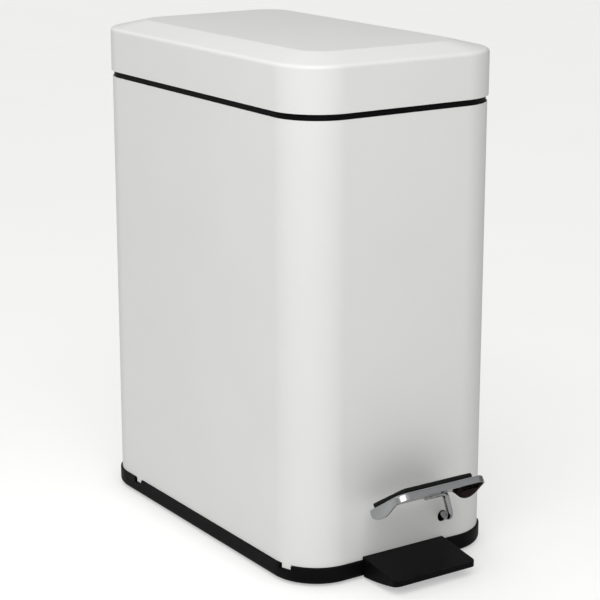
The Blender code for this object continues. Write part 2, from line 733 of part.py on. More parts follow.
def soft_corner(before, corner, after, size, steps=3):
    """Points that round a corner of a profile, starting and ending size away from it."""
    corner = Vector(corner)
    start = corner + (Vector(before) - corner).normalized() * size
    end = corner + (Vector(after) - corner).normalized() * size
    shares = [i / steps for i in range(steps + 1)]
    return [start * (1 - s) ** 2 + corner * (2 * s * (1 - s)) + end * s ** 2 for s in shares]


def make_lid_shell():
    bottom, crease, top = (LID_PROUD, LID_BOTTOM), (LID_PROUD, LID_CREASE), (LID_PROUD - LID_BORDER, LID_TOP)
    middle = (top[0] - LID_BORDER, LID_TOP)
    profile = [Vector(bottom)]
    profile += soft_corner(bottom, crease, top, LID_SOFT_EDGE)
    profile += soft_corner(crease, top, middle, LID_SOFT_EDGE, steps=2)
    sections = []
    for grow, z in profile:
        share = (LID_PROUD - grow) / LID_BORDER
        radius = (BODY_CORNER + LID_PROUD) * (1 - share) + LID_TOP_CORNER * share
        sections.append((body_outline(grow, radius), z))
    lid = loft("lid_shell", sections, parts, cap_last=True)
    solidify(lid, STEEL)
    half = lug_reach() + LID_NOTCH_ROOM
    notch_z = (LID_BOTTOM - CUT, LID_BOTTOM + LID_NOTCH_HEIGHT)
    reach = (REAR - STEEL - CUT, REAR + LID_PROUD + CUT)
    notch = box("lid_notch", (-half, half), reach, notch_z, cutters)
    boolean(lid, notch, "DIFFERENCE")
    return painted(smooth(lid), (0.80, 0.80, 0.79), 0.35)


def hinge_angle_point(radius, angle):
    """A point at a radius and an angle below the horizontal from the hinge towards the front."""
    return (HINGE_Y - radius * math.cos(angle), HINGE_Z - radius * math.sin(angle))


def make_lid_liner():
    profile = [
        (LINER_GROW, LINER_BOTTOM),
        (LINER_GROW, LINER_TOP - LINER_CHAMFER),
        (LINER_GROW - LINER_CHAMFER, LINER_TOP),
    ]
    liner = loft("lid_liner", [(body_outline(g), z) for g, z in profile], parts, cap_last=True)
    solidify(liner, LINER_THICKNESS)
    inside = LINER_TOP - LINER_THICKNESS / 2
    half_slot = LIFT_ROD_RADIUS + LUG_SIDE_PLAY
    tip = hinge_angle_point(LIFT_RADIUS, LIFT_HALF)
    near = hinge_angle_point(LIFT_NEAR, LIFT_HALF)
    tip_radius = half_slot + LUG_WALL
    lug_x = (LUG_X - LUG_THICKNESS / 2, LUG_X + LUG_THICKNESS / 2)
    lug = slab("lift_lug", [link_outline(near, tip_radius, tip, tip_radius - WELD)], "X", *lug_x, cutters)
    post_y = (HINGE_Y - LIFT_RADIUS + 5 * STEP, near[0] + tip_radius - 5 * STEP)
    post_x = (lug_x[0] + STEP / 2, lug_x[1] - STEP / 2)
    post = box("lug_post", post_x, post_y, (near[1], inside), cutters)
    boolean(liner, lug, "UNION")
    boolean(liner, post, "UNION")
    inner_end = hinge_angle_point(LIFT_NEAR - PLAY, LIFT_HALF)
    outer_end = hinge_angle_point(LIFT_RADIUS + PLAY, LIFT_HALF)
    outline = link_outline(inner_end, half_slot, outer_end, half_slot - WELD)
    boolean(liner, slab("lug_slot", [outline], "X", lug_x[0] - CUT, lug_x[1] + CUT, cutters), "DIFFERENCE")
    arm_bottom = LINER_BOTTOM + GAP
    arm_top = arm_bottom + LID_ARM_HEIGHT
    pin_room = PIN_RADIUS + PLAY + STEP
    for side, sign in LEFT_AND_RIGHT:
        start = EAR_INNER + EAR_WIDTH + 2 * GAP
        x0, x1 = sorted((sign * start, sign * lug_reach()))
        arm_y = (REAR + LINER_GROW - LINER_THICKNESS, HINGE_Y + pin_room + STEP)
        arm = box("lug_arm_" + side, (x0, x1), arm_y, (arm_bottom, arm_top), cutters)
        eye = hinge_eye("lug_eye_" + side, x0 + STEP, x1 - STEP, cutters)
        neck_y = (HINGE_Y - pin_room, HINGE_Y + pin_room)
        neck_x = (x0 + 2 * STEP, x1 - 2 * STEP)
        neck = box("lug_neck_" + side, neck_x, neck_y, (HINGE_Z, arm_top - STEP), cutters)
        for piece in (arm, eye, neck):
            boolean(liner, piece, "UNION")
    boolean(liner, pin_hole("lug_hole", cutters), "DIFFERENCE")
    return painted(smooth(liner), (0.015, 0.015, 0.016), 0.5)


# ---------------------------------------------------------------- lever and pivot

def make_pedal_rod():
    path = bent_path([
        (ROD_X, FRONT + ROD_IN, ROD_HEIGHT),
        (ROD_X, FRONT - ROD_OUT, ROD_HEIGHT),
        (ROD_X, FRONT - WELD_OUT, WELD_HEIGHT),
        (WELD_X, FRONT - WELD_OUT, WELD_HEIGHT),
    ], ROD_BEND)
    return painted(smooth(wire("pedal_rod", path, ROD_RADIUS, parts)), (0.5, 0.5, 0.5), 0.15, 1.0)


def hub_limits():
    """X limits of the lever's hub between the bracket's ears."""
    half = EAR_SPAN / 2 - 2 * GAP
    return EARS_CENTRE_X - half, EARS_CENTRE_X + half


def make_lever_bar():
    centre = (PIVOT_Y, PIVOT_HEIGHT)
    rear = (LIFT_Y, LEVER_REAR_HEIGHT)
    outline = link_outline(centre, LEVER_FRONT_RADIUS, rear, LEVER_REAR_RADIUS)
    half = LEVER_THICKNESS / 2
    lever = slab("lever_bar", [outline], "X", LEVER_X - half, LEVER_X + half, parts)
    boolean(lever, round_bar("lever_hub", "X", centre, HUB_RADIUS, *hub_limits(), cutters, steps=24), "UNION")
    reach = (EARS_CENTRE_X - EAR_SPAN, EARS_CENTRE_X + EAR_SPAN)
    bore = round_bar("hub_bore", "X", centre, AXLE_RADIUS + PLAY, *reach, cutters, steps=24)
    boolean(lever, bore, "DIFFERENCE")
    return painted(smooth(lever), (0.45, 0.45, 0.45), 0.4, 1.0)


def make_pivot_bracket():
    bottom = FLOOR_TOP + GAP
    top = bottom + BRACKET_METAL
    x = (EARS_CENTRE_X - BRACKET_WIDTH / 2, EARS_CENTRE_X + BRACKET_WIDTH / 2)
    y = (PIVOT_Y - BRACKET_FRONT, PIVOT_Y - BRACKET_FRONT + BRACKET_DEPTH)
    bracket = box("pivot_bracket", x, y, (bottom, top), parts)
    centre = (PIVOT_Y, PIVOT_HEIGHT)
    radius = BRACKET_EAR_RADIUS
    for side, sign in LEFT_AND_RIGHT:
        inner = EARS_CENTRE_X + sign * EAR_SPAN / 2
        ends = sorted((inner, inner + sign * BRACKET_METAL))
        outline = arc(centre, radius, 0, math.pi, 10)
        outline += [(PIVOT_Y - BRACKET_FRONT + GAP, bottom + GAP), (PIVOT_Y + radius, bottom + GAP)]
        boolean(bracket, slab("bracket_ear_" + side, [outline], "X", *ends, cutters), "UNION")
    reach = (x[0] - CUT, x[1] + CUT)
    bore = round_bar("bracket_bore", "X", centre, AXLE_RADIUS + PLAY, *reach, cutters, steps=24)
    boolean(bracket, bore, "DIFFERENCE")
    for side, screw_x in screw_places():
        spot = (screw_x, PIVOT_Y)
        hole = round_bar("bracket_hole_" + side, "Z", spot, SCREW_RADIUS + PLAY, 0, top + CUT, cutters)
        boolean(bracket, hole, "DIFFERENCE")
    return painted(bracket, (0.5, 0.5, 0.5), 0.4, 1.0)


def axle_end():
    """X of the axle's clip end, outside the right ear."""
    return EARS_CENTRE_X + EAR_SPAN / 2 + BRACKET_METAL + GAP + CLIP_THICKNESS + PIN_END


def make_pivot_axle():
    left = EARS_CENTRE_X - EAR_SPAN / 2 - BRACKET_METAL - GAP
    centre = (PIVOT_Y, PIVOT_HEIGHT)
    axle = round_bar("pivot_axle", "X", centre, AXLE_RADIUS, left - AXLE_HEAD + STEP, axle_end(), parts)
    head = round_bar("axle_head", "X", centre, AXLE_RADIUS + AXLE_HEAD, left - AXLE_HEAD, left, cutters)
    boolean(axle, head, "UNION")
    return painted(smooth(axle), (0.5, 0.5, 0.5), 0.3, 1.0)


def make_bracket_screws():
    screws = []
    seat = FLOOR_TOP + GAP + BRACKET_METAL + GAP
    tip = BASE_BOTTOM + STEEL - seat
    profile = [
        (0, SCREW_HEAD),
        (0.6 * SCREW_HEAD_RADIUS, SCREW_HEAD),
        (SCREW_HEAD_RADIUS, 0.5 * SCREW_HEAD),
        (SCREW_HEAD_RADIUS, 0),
        (SCREW_RADIUS, 0),
        (SCREW_RADIUS, tip),
        (0, tip),
    ]
    for side, x in screw_places():
        screw = turned("bracket_screw_" + side, profile, Matrix.Translation((x, PIVOT_Y, seat)), parts)
        screws.append(painted(smooth(screw), (0.45, 0.45, 0.45), 0.35, 1.0))
    return screws


# ---------------------------------------------------------------- pedal

def pedal_place():
    """Matrix from the tray's own plane (X across, Y to the front, Z up) to the body's frame.

    The tray's own Y runs from its rear edge up to the front edge.
    """
    turn = Matrix.Rotation(-PEDAL_TILT, 4, "X") @ Matrix.Rotation(math.pi, 4, "Z")
    return Matrix.Translation((0, PEDAL_REAR_Y, PEDAL_REAR_HEIGHT)) @ turn


def flange_depth(distance):
    """Depth of the tray's border at a distance from its rear edge: a lobe that eases to the front."""
    if distance < LOBE_PEAK:
        return max(PEDAL_METAL, LOBE_DEPTH * math.sin(math.pi / 2 * distance / LOBE_PEAK))
    share = (distance - LOBE_PEAK) / (PEDAL_LENGTH - LOBE_PEAK)
    return FLANGE_DEPTH + (LOBE_DEPTH - FLANGE_DEPTH) * (1 + math.cos(math.pi * min(share, 1))) / 2


def tray_edge():
    """The tray's left side, front and right side in its own plane."""
    half = PEDAL_WIDTH / 2
    straight = PEDAL_LENGTH - PEDAL_CORNER
    steps = 10
    up = [(half, straight * i / steps) for i in range(steps)]
    quarter = math.pi / 2
    corner = arc((half - PEDAL_CORNER, straight), PEDAL_CORNER, 0, quarter, 6)
    one_side = up + corner
    return one_side + [(-x, y) for x, y in reversed(one_side)]


def make_pedal_plate():
    body = bmesh.new()
    edge = tray_edge()
    top = [body.verts.new((x, y, 0)) for x, y in edge]
    low = [body.verts.new((x, y, -flange_depth(y))) for x, y in edge]
    body.faces.new(top)
    for i in range(len(edge) - 1):
        body.faces.new((top[i], low[i], low[i + 1], top[i + 1]))
    bmesh.ops.recalc_face_normals(body, faces=body.faces)
    body.faces.ensure_lookup_table()
    if body.faces[0].normal.z < 0:
        bmesh.ops.reverse_faces(body, faces=body.faces)
    mesh = bpy.data.meshes.new("pedal_plate")
    body.to_mesh(mesh)
    body.free()
    mesh.transform(pedal_place())
    plate = object_from("pedal_plate", mesh, parts)
    solidify(plate, PEDAL_METAL)
    return painted(smooth(plate), (0.55, 0.55, 0.55), 0.08, 1.0)


def make_pedal_pad():
    front = PEDAL_LENGTH - TREAD_FRONT_INSET
    rear = TREAD_REAR_INSET
    wide, narrow = TREAD_REAR_WIDTH / 2, TREAD_FRONT_WIDTH / 2
    outline = [(-wide, rear), (wide, rear), (narrow, front), (-narrow, front)]
    pad = slab("pedal_pad", [outline], "Z", GAP, GAP + TREAD_THICKNESS, parts)
    pad.data.transform(pedal_place())
    bevel(pad, TREAD_EDGE)
    return painted(pad, (0.015, 0.015, 0.015), 0.6)


# ---------------------------------------------------------------- lift rod

def make_lift_rod():
    path = bent_path([
        (LEVER_X, LIFT_Y, LIFT_FOOT_BOTTOM + LIFT_FOOT_FLOOR + GAP),
        (LEVER_X, LIFT_Y, LIFT_Z),
        (ROD_END_X, LIFT_Y, LIFT_Z),
    ], LIFT_ROD_BEND)
    rod = wire("lift_rod", path, LIFT_ROD_RADIUS, parts)
    return painted(smooth(rod), (0.5, 0.5, 0.5), 0.3, 1.0)


def make_lift_foot():
    bore = LIFT_ROD_RADIUS + PLAY
    edge = LIFT_FOOT_EDGE
    profile = [
        (0, LIFT_FOOT_FLOOR),
        (bore, LIFT_FOOT_FLOOR),
        (bore, LIFT_FOOT_HEIGHT),
        (LIFT_FOOT_RADIUS - edge, LIFT_FOOT_HEIGHT),
        (LIFT_FOOT_RADIUS, LIFT_FOOT_HEIGHT - edge),
        (LIFT_FOOT_RADIUS, edge),
        (LIFT_FOOT_RADIUS - edge, 0),
        (0, 0),
    ]
    place = Matrix.Translation((LEVER_X, LIFT_Y, LIFT_FOOT_BOTTOM))
    foot = turned("lift_rod_foot", profile, place, parts)
    return painted(smooth(foot), (0.6, 0.6, 0.58), 0.5)


def make_rod_guides():
    guides = []
    half = GUIDE_WIDTH / 2
    rear = REAR - STEEL - GAP
    front = LIFT_Y - half
    for name, level in GUIDE_LEVELS:
        z = (level - GUIDE_HEIGHT / 2, level + GUIDE_HEIGHT / 2)
        nose = arc((LEVER_X, LIFT_Y), half, math.pi, math.tau, 10)
        outline = nose + [(LEVER_X + half, rear), (LEVER_X - half, rear)]
        loops = [outline, circle((LEVER_X, LIFT_Y), LIFT_ROD_RADIUS + PLAY)]
        guide = slab("rod_guide_" + name, loops, "Z", *z, parts)
        reach = (REAR - RIVET_LENGTH - GAP, REAR + CUT)
        bore = round_bar("guide_bore_" + name, "Y", (LEVER_X, level), LIFT_ROD_RADIUS + PLAY, *reach, cutters)
        boolean(guide, bore, "DIFFERENCE")
        guides.append(painted(smooth(guide), (0.6, 0.6, 0.58), 0.5))
    return guides


def make_guide_rivets():
    rivets = []
    profile = [
        (0, RIVET_HEAD + GAP),
        (0.6 * RIVET_HEAD_RADIUS, 0.85 * RIVET_HEAD + GAP),
        (RIVET_HEAD_RADIUS, 0.3 * RIVET_HEAD + GAP),
        (RIVET_HEAD_RADIUS, GAP),
        (LIFT_ROD_RADIUS, GAP),
        (LIFT_ROD_RADIUS, -RIVET_LENGTH),
        (0, -RIVET_LENGTH),
    ]
    turn = Matrix.Rotation(-math.pi / 2, 4, "X")
    for name, level in GUIDE_LEVELS:
        place = Matrix.Translation((LEVER_X, REAR, level)) @ turn
        rivet = turned("guide_rivet_" + name, profile, place, parts, steps=16)
        rivets.append(painted(smooth(rivet), (0.6, 0.6, 0.6), 0.3, 1.0))
    return rivets


# ---------------------------------------------------------------- bucket

def bucket_outline(inset):
    """The bucket's outer outline drawn in by a distance."""
    half = BODY_WIDTH / 2 + BUCKET_GROW - inset
    y0 = FRONT - BUCKET_GROW + inset
    return rounded_rectangle(-half, half, y0, BUCKET_REAR - inset, BODY_CORNER + BUCKET_GROW - inset)


def make_inner_bucket():
    centre = (-BUCKET_TAPER - BUCKET_ROUND, BUCKET_BOTTOM + BUCKET_ROUND)
    curve = arc(centre, BUCKET_ROUND, -math.pi / 2, 0, 4)
    profile = [(-grow, z) for grow, z in curve] + [(0, BUCKET_TOP), (-BUCKET_RIM, BUCKET_TOP)]
    sections = [(bucket_outline(inset), z) for inset, z in profile]
    bucket = loft("inner_bucket", sections, parts, cap_first=True)
    solidify(bucket, BUCKET_WALL)
    reach = (-BODY_WIDTH / 2, BODY_WIDTH / 2)
    hole = round_bar("handle_holes", "X", handle_pivot(), HANDLE_RADIUS + PLAY, *reach, cutters)
    boolean(bucket, hole, "DIFFERENCE")
    wall_y = FRONT - BUCKET_GROW + LEDGE_ROOT
    ledge_y = (wall_y, FRONT - BUCKET_GROW + HANDLE_FRONT + HANDLE_RADIUS)
    ledge_top = HANDLE_Z - HANDLE_RADIUS - GAP
    for side, sign in LEFT_AND_RIGHT:
        x = (sign * LEDGE_X - LEDGE_WIDTH / 2, sign * LEDGE_X + LEDGE_WIDTH / 2)
        ledge = box("handle_ledge_" + side, x, ledge_y, (ledge_top - LEDGE_HEIGHT, ledge_top), cutters)
        boolean(bucket, ledge, "UNION")
    return painted(smooth(bucket), (0.03, 0.03, 0.032), 0.5)


def handle_pivot():
    """Y and Z of the handle's pivots, in the middle of the bucket's sides."""
    return (FRONT - BUCKET_GROW + BUCKET_REAR) / 2, HANDLE_Z


def handle_half():
    """X of the handle's arms, inside the bucket's walls."""
    return BODY_WIDTH / 2 + BUCKET_GROW - HANDLE_INSET


def make_bucket_handle():
    y, z = handle_pivot()
    end = BODY_WIDTH / 2 + BUCKET_GROW + 2 * STEP
    arm = handle_half()
    front = FRONT - BUCKET_GROW + HANDLE_FRONT
    path = bent_path([
        (-end, y, z), (-arm, y, z), (-arm, front, z), (arm, front, z), (arm, y, z), (end, y, z),
    ], [HANDLE_BEND, HANDLE_CORNER, HANDLE_CORNER, HANDLE_BEND])
    handle = wire("bucket_handle", path, HANDLE_RADIUS, parts)
    return painted(smooth(handle), (0.55, 0.55, 0.55), 0.25, 1.0)


def make_handle_grip():
    z = HANDLE_Z
    centre = (FRONT - BUCKET_GROW + HANDLE_FRONT, z)
    loops = [circle(centre, GRIP_RADIUS, 24), circle(centre, HANDLE_RADIUS + PLAY, 24)]
    grip = slab("handle_grip", loops, "X", -GRIP_LENGTH / 2, GRIP_LENGTH / 2, parts)
    return painted(smooth(grip), (0.02, 0.02, 0.02), 0.5)


# ---------------------------------------------------------------- assembly

def build():
    lid_axis = joint_empty("lid_axis", root, y=HINGE_Y, z=HINGE_Z)
    pedal_axis = joint_empty("pedal_axis", root, y=PIVOT_Y, z=PIVOT_HEIGHT)
    lift_axis = joint_empty("lift_axis", root, LEVER_X, LIFT_Y, 0)
    bucket_axis = joint_empty("bucket_axis", root)
    handle_y, handle_z = handle_pivot()
    handle_axis = joint_empty("handle_axis", bucket_axis, y=handle_y, z=handle_z)
    fixed = [make_base_tray(), make_front_foot(), make_body_shell(), make_collar(), make_hinge_pin()]
    fixed += make_rubber_pads() + make_lid_bumpers()
    for side, sign in LEFT_AND_RIGHT:
        start = sign * (lug_reach() + GAP)
        hinge = (HINGE_Y, HINGE_Z)
        fixed.append(make_clip("hinge_clip_" + side, hinge, PIN_RADIUS, start, sign))
    fixed += [make_pivot_bracket(), make_pivot_axle()]
    axle = (PIVOT_Y, PIVOT_HEIGHT)
    clip_start = EARS_CENTRE_X + EAR_SPAN / 2 + BRACKET_METAL + GAP
    fixed.append(make_clip("pivot_clip", axle, AXLE_RADIUS, clip_start, 1))
    fixed += make_bracket_screws() + make_rod_guides() + make_guide_rivets()
    rod_end = LUG_X - LUG_THICKNESS / 2 - GAP
    lift_centre = (LIFT_Y, LIFT_Z)
    lift_clip = make_clip("lift_rod_clip", lift_centre, LIFT_ROD_RADIUS, rod_end, -1)
    groups = [
        (root, fixed),
        (lid_axis, [make_lid_shell(), make_lid_liner()]),
        (pedal_axis, [make_pedal_plate(), make_pedal_pad(), make_pedal_rod(), make_lever_bar()]),
        (lift_axis, [make_lift_rod(), make_lift_foot(), lift_clip]),
        (bucket_axis, [make_inner_bucket()]),
        (handle_axis, [make_bucket_handle(), make_handle_grip()]),
    ]
    for empty, pieces in groups:
        for piece in pieces:
            hang(piece, empty)


build()
bpy.context.view_layer.update()
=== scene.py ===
import json
import math

import bmesh
import bpy
from mathutils import Matrix, Vector


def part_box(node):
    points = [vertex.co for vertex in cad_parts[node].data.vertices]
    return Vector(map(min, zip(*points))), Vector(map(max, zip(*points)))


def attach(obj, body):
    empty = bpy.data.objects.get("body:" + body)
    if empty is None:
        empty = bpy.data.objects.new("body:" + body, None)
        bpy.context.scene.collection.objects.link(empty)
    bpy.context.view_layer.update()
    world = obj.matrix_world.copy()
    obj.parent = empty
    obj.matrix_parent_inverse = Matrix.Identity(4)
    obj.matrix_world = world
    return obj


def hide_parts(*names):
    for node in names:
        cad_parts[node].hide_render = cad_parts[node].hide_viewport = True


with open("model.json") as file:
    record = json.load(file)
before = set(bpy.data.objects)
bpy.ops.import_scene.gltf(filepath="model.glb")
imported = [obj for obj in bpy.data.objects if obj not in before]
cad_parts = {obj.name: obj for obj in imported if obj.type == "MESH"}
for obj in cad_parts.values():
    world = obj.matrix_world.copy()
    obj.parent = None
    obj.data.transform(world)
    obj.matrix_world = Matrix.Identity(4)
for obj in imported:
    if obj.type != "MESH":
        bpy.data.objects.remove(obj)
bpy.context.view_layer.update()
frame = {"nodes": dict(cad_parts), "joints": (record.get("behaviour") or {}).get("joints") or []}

MM = 0.001
WELD = 0.002 * MM           # points closer than this are one point
CUT = 1.0 * MM              # how far a cutter passes out of what it cuts
SIGNS = (-1, 1)             # left and right
CORNER_STEPS = 24           # faces round each rounded corner
ROUND_STEPS = 32            # faces round a rod
QUARTER = math.pi / 2

# Sizes that the frame gives: each box is its lowest and its highest corner
body_low, body_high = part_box("body_shell")
base_low, base_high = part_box("base_tray")
lid_low, lid_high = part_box("lid_shell")
bucket_low, bucket_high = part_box("inner_bucket")
plate_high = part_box("pedal_plate")[1]
foot_low, foot_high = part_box("front_foot")
grip_low, grip_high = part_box("handle_grip")
pin_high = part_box("hinge_pin")[1]
rod_low, rod_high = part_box("pedal_rod")
liner_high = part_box("lid_liner")[1]
joint_places = {j["name"]: Vector(j.get("pos_m") or (0, 0, 0)) for j in frame["joints"]}
HALF = body_high.x
FRONT = body_low.y
REAR = body_high.y
CENTRE_Y = (FRONT + REAR) / 2
BODY_TOP = body_high.z
GAP = 0.3 * MM
STEEL = 0.6 * MM
CORNER = 28.0 * MM

# Body sleeve
TAB_DROP = 2.8 * MM         # length of the lock tabs below the sleeve's edge
TAB_WIDTH = 6.0 * MM
TAB_PLACES = (FRONT + 19.0 * MM, REAR - 43.0 * MM)
BODY_BOTTOM = body_low.z + TAB_DROP
SLOT_WIDTH = 6.5 * MM       # of the upright slot that the pedal's rod passes
RIVET_HOLE = 1.8 * MM       # radius
SHEET_EDGE = 0.14 * MM      # rounding of a cut edge
SEAM_WIDTH = 6.4 * MM
SEAM_PROUD = 0.35 * MM
SEAM_FROM_BOTTOM = 0.5 * MM
SEAM_FROM_TOP = 8.0 * MM
SEAM_EDGE = 0.1 * MM

# Base tray
BASE_PROUD = base_high.x - HALF
BASE_ROUND = 3.0 * MM
FLOOR_TOP = base_low.z + 2.8 * MM
LIP_THICKNESS = 1.5 * MM    # of the lip inside the sleeve
BASE_TOP_EDGE = 0.3 * MM
SCREW_HOLE = 1.7 * MM       # radius
NOTCH_ROOM = 1.0 * MM       # on each side of a lock tab
MOULDED_EDGE = 0.15 * MM

# Front foot
FOOT_REAR_BOTTOM = 1.6 * MM
FOOT_FRONT_BOTTOM = 6.0 * MM
FOOT_FRONT_TOP = 9.0 * MM
FOOT_ARCH = 1.6             # power of the underside's curve
FOOT_CORNER = 4.0 * MM
FOOT_EDGE = 0.6 * MM

# Lid
LID_PROUD = lid_high.x - HALF
LID_BORDER = 19.7 * MM      # width of the slope, seen from above
LID_RISE = 5.2 * MM         # height of the slope
LID_TOP_CORNER = 16.0 * MM
LID_SOFT_EDGE = 2.0 * MM    # between the skirt and the slope
LID_INNER_EDGE = 0.9 * MM   # between the slope and the top
LID_CROWN = 0.25 * MM       # how far the top is domed
LID_CROWN_RINGS = 8
LID_CROWN_END = 2.0 * MM    # half the width of the last ring, in the middle of the top
LID_NOTCH_HEIGHT = 6.0 * MM
LINER_THICKNESS = 1.4 * MM
LINER_RIB_COUNT = 8
LINER_RIB_SPACING = 23.0 * MM
LINER_RIB_RADIUS = 0.7 * MM
LINER_RIB_FIRST = 34.0 * MM  # from the body's front
LINER_RIB_MARGIN = 15.0 * MM

# Pedal
PEDAL_TILT = math.radians(33.7)
PEDAL_REAR_HEIGHT = 44.1 * MM
PEDAL_LENGTH = 34.2 * MM
PEDAL_CORNER = 7.0 * MM
PEDAL_REAR_CORNER = 3.0 * MM
PEDAL_METAL = 0.8 * MM
PEDAL_FOLD = 1.3 * MM       # outer radius of the fold between the tray and its border
PEDAL_FOLD_SHARE = 0.9      # of the border's depth that the fold may take
PEDAL_EDGE = 0.2 * MM
SIDE_STEPS = 28             # faces along each side of the tray
FOLD_STEPS = 6
FLANGE_DEPTH = 4.1 * MM
HOLLOW_DEPTH = 3.0 * MM     # middle of the tray's hollow, below its top
LOBE_DEPTH = 7.8 * MM
LOBE_PEAK = 12.0 * MM       # from the tray's rear edge to the lobe's deepest place
TREAD_THICKNESS = 3.3 * MM
TREAD_FRONT_WIDTH = 49.0 * MM
TREAD_REAR_WIDTH = 57.0 * MM
TREAD_FRONT_INSET = 4.0 * MM
TREAD_REAR_INSET = 1.5 * MM
TREAD_EDGE = 0.9 * MM
TREAD_CORNER = 2.5 * MM
TREAD_MARGIN = 4.0 * MM     # from the tread's edges to its ribs
RIB_COUNT = 7
PAINTED_SHADE_MARK = "painted_hollow_shade"       # face attribute: 1 in the hollow of the tray, where the chrome gets a painted shade
RIB_RADIUS = 0.55 * MM

# Pedal rod
ROD_RADIUS = 2.0 * MM
ROD_X = rod_high.x - ROD_RADIUS
ROD_HEIGHT = rod_low.z + ROD_RADIUS
ROD_OUT = 8.6 * MM
ROD_BEND = 4.0 * MM
ROD_END_EDGE = 0.25 * MM
WELD_X = rod_low.x
WELD_OUT = 5.9 * MM
WELD_HEIGHT = 43.0 * MM
ROD_LEAN = 3.0 * MM         # how far the upright leg's top is to the left of its foot

# Weld beads
BEAD_PLACES = (WELD_X + 3.0 * MM, ROD_X - ROD_LEAN - 7.0 * MM)
BEAD_RADIUS = 0.95 * MM
SEAT_FORWARD = 1.4 * MM     # a bead's axis from the rod's axis
SEAT_UP = 0.2 * MM
BEAD_REACH = 2.2 * MM       # half of a bead's length
BEAD_RINGS = 17
BEAD_FACES = 12
RIPPLE_SHARE = 0.1
RIPPLE_TURN = 14.0          # radians of ripple from a bead's middle to its end

# Inner bucket and handle
BUCKET_WALL = 1.2 * MM
BUCKET_RIM = 3.6 * MM
BUCKET_TAPER = 4.0 * MM
BUCKET_ROUND = 6.0 * MM
BUCKET_CORNER = 19.7 * MM
RIM_ROUND = 0.5 * MM
HANDLE_RADIUS = 1.5 * MM
HANDLE_INSET = 3.3 * MM
HANDLE_BEND = 2.2 * MM
HANDLE_CORNER = 16.0 * MM
LEDGE_WIDTH = 5.0 * MM
LEDGE_HEIGHT = 3.0 * MM
LEDGE_X = 36.0 * MM
LEDGE_ROOT = 0.8 * MM       # from the outside of the wall
BUCKET_EDGE = 0.2 * MM
HANDLE_END_EDGE = 0.15 * MM
GRIP_CHAMFER = 0.8 * MM
GRIP_EDGE = 0.3 * MM
GRIP_RING_COUNT = 11
GRIP_RING_SPACING = 4.6 * MM
GRIP_RING_SUNK = 0.15 * MM
GRIP_BEAD = 0.4 * MM

# Studio
FLOOR_RADIUS = 6.0
FLOOR_GLOW = 0.42
# Height of a direction, from 0 at the horizon to 1 straight up, and how bright the studio is there
SKY_LEVELS = ((0.0, 0.50), (0.22, 0.55), (0.34, 0.70), (0.5, 0.95), (0.75, 0.84), (1.0, 0.7))
EYE = (-0.6160, CENTRE_Y - 0.9331, 0.4341)
EYE_DOWN = math.radians(14.99)
EYE_TURN = math.radians(-33.67)


# ---------------------------------------------------------------- materials

def colour(code):
    """An sRGB hex colour as linear RGBA."""
    shares = [int(code[i:i + 2], 16) / 255 for i in (1, 3, 5)]
    return (*[c / 12.92 if c <= 0.04045 else ((c + 0.055) / 1.055) ** 2.4 for c in shares], 1.0)


def add(tree, kind, inputs=None, **settings):
    """A node with its settings; an input is a value or the output that feeds it."""
    node = tree.nodes.new(kind)
    for key, value in settings.items():
        setattr(node, key, value)
    for key, value in (inputs or {}).items():
        if isinstance(value, bpy.types.NodeSocket):
            tree.links.new(value, node.inputs[key])
        else:
            node.inputs[key].default_value = value
    return node


def start(name, **values):
    """A material with its shader's even values set, and its object coordinates."""
    material = bpy.data.materials.new(name)
    material.use_nodes = True
    tree = material.node_tree
    shader = tree.nodes["Principled BSDF"]
    for key, value in values.items():
        shader.inputs[key.replace("_", " ")].default_value = value
    place = add(tree, "ShaderNodeTexCoord").outputs["Object"]
    return material, tree, shader, place


def every(millimetres):
    """Texture scale whose pattern repeats about every so many millimetres."""
    return 1 / (millimetres * MM)


def tinted(tree, shader, pattern, first, second):
    """Base colour that wanders between two tones with a pattern."""
    tone = add(tree, "ShaderNodeMix", {
        "Factor": pattern.outputs["Fac"], "A": colour(first), "B": colour(second),
    }, data_type="RGBA")
    tree.links.new(tone.outputs["Result"], shader.inputs["Base Color"])
    return tone


def satin(tree, shader, pattern, roughness):
    """Roughness that wanders between two values with a pattern."""
    gloss = add(tree, "ShaderNodeMapRange", {
        "Value": pattern.outputs["Fac"], "To Min": roughness[0], "To Max": roughness[1],
    })
    tree.links.new(gloss.outputs["Result"], shader.inputs["Roughness"])


def relief(tree, shader, height, strength, depth):
    """Small bumps of a depth, drawn by shading alone."""
    bump = add(tree, "ShaderNodeBump", {"Height": height, "Strength": strength, "Distance": depth})
    tree.links.new(bump.outputs["Normal"], shader.inputs["Normal"])


def powder_coated_steel():
    """White polyester powder baked on steel sheet: a satin skin with a faint orange peel.

    The real peel is about 1.2 mm across; it is drawn at 2.2 mm so that it shows.
    """
    material, tree, shader, place = start(
        "powder_coated_steel", IOR=1.5, Coat_Weight=0.15, Coat_Roughness=0.22)
    cloud = add(tree, "ShaderNodeTexNoise", {"Vector": place, "Scale": every(70), "Detail": 2.0})
    tinted(tree, shader, cloud, "#E7E7E6", "#EDEDEB")
    fine = add(tree, "ShaderNodeTexNoise", {"Vector": place, "Scale": every(9), "Detail": 4.0})
    satin(tree, shader, fine, roughness=(0.33, 0.43))
    peel = add(tree, "ShaderNodeTexNoise", {"Vector": place, "Scale": every(2.2), "Detail": 1.0})
    relief(tree, shader, peel.outputs["Fac"], strength=0.35, depth=0.02 * MM)
    return material


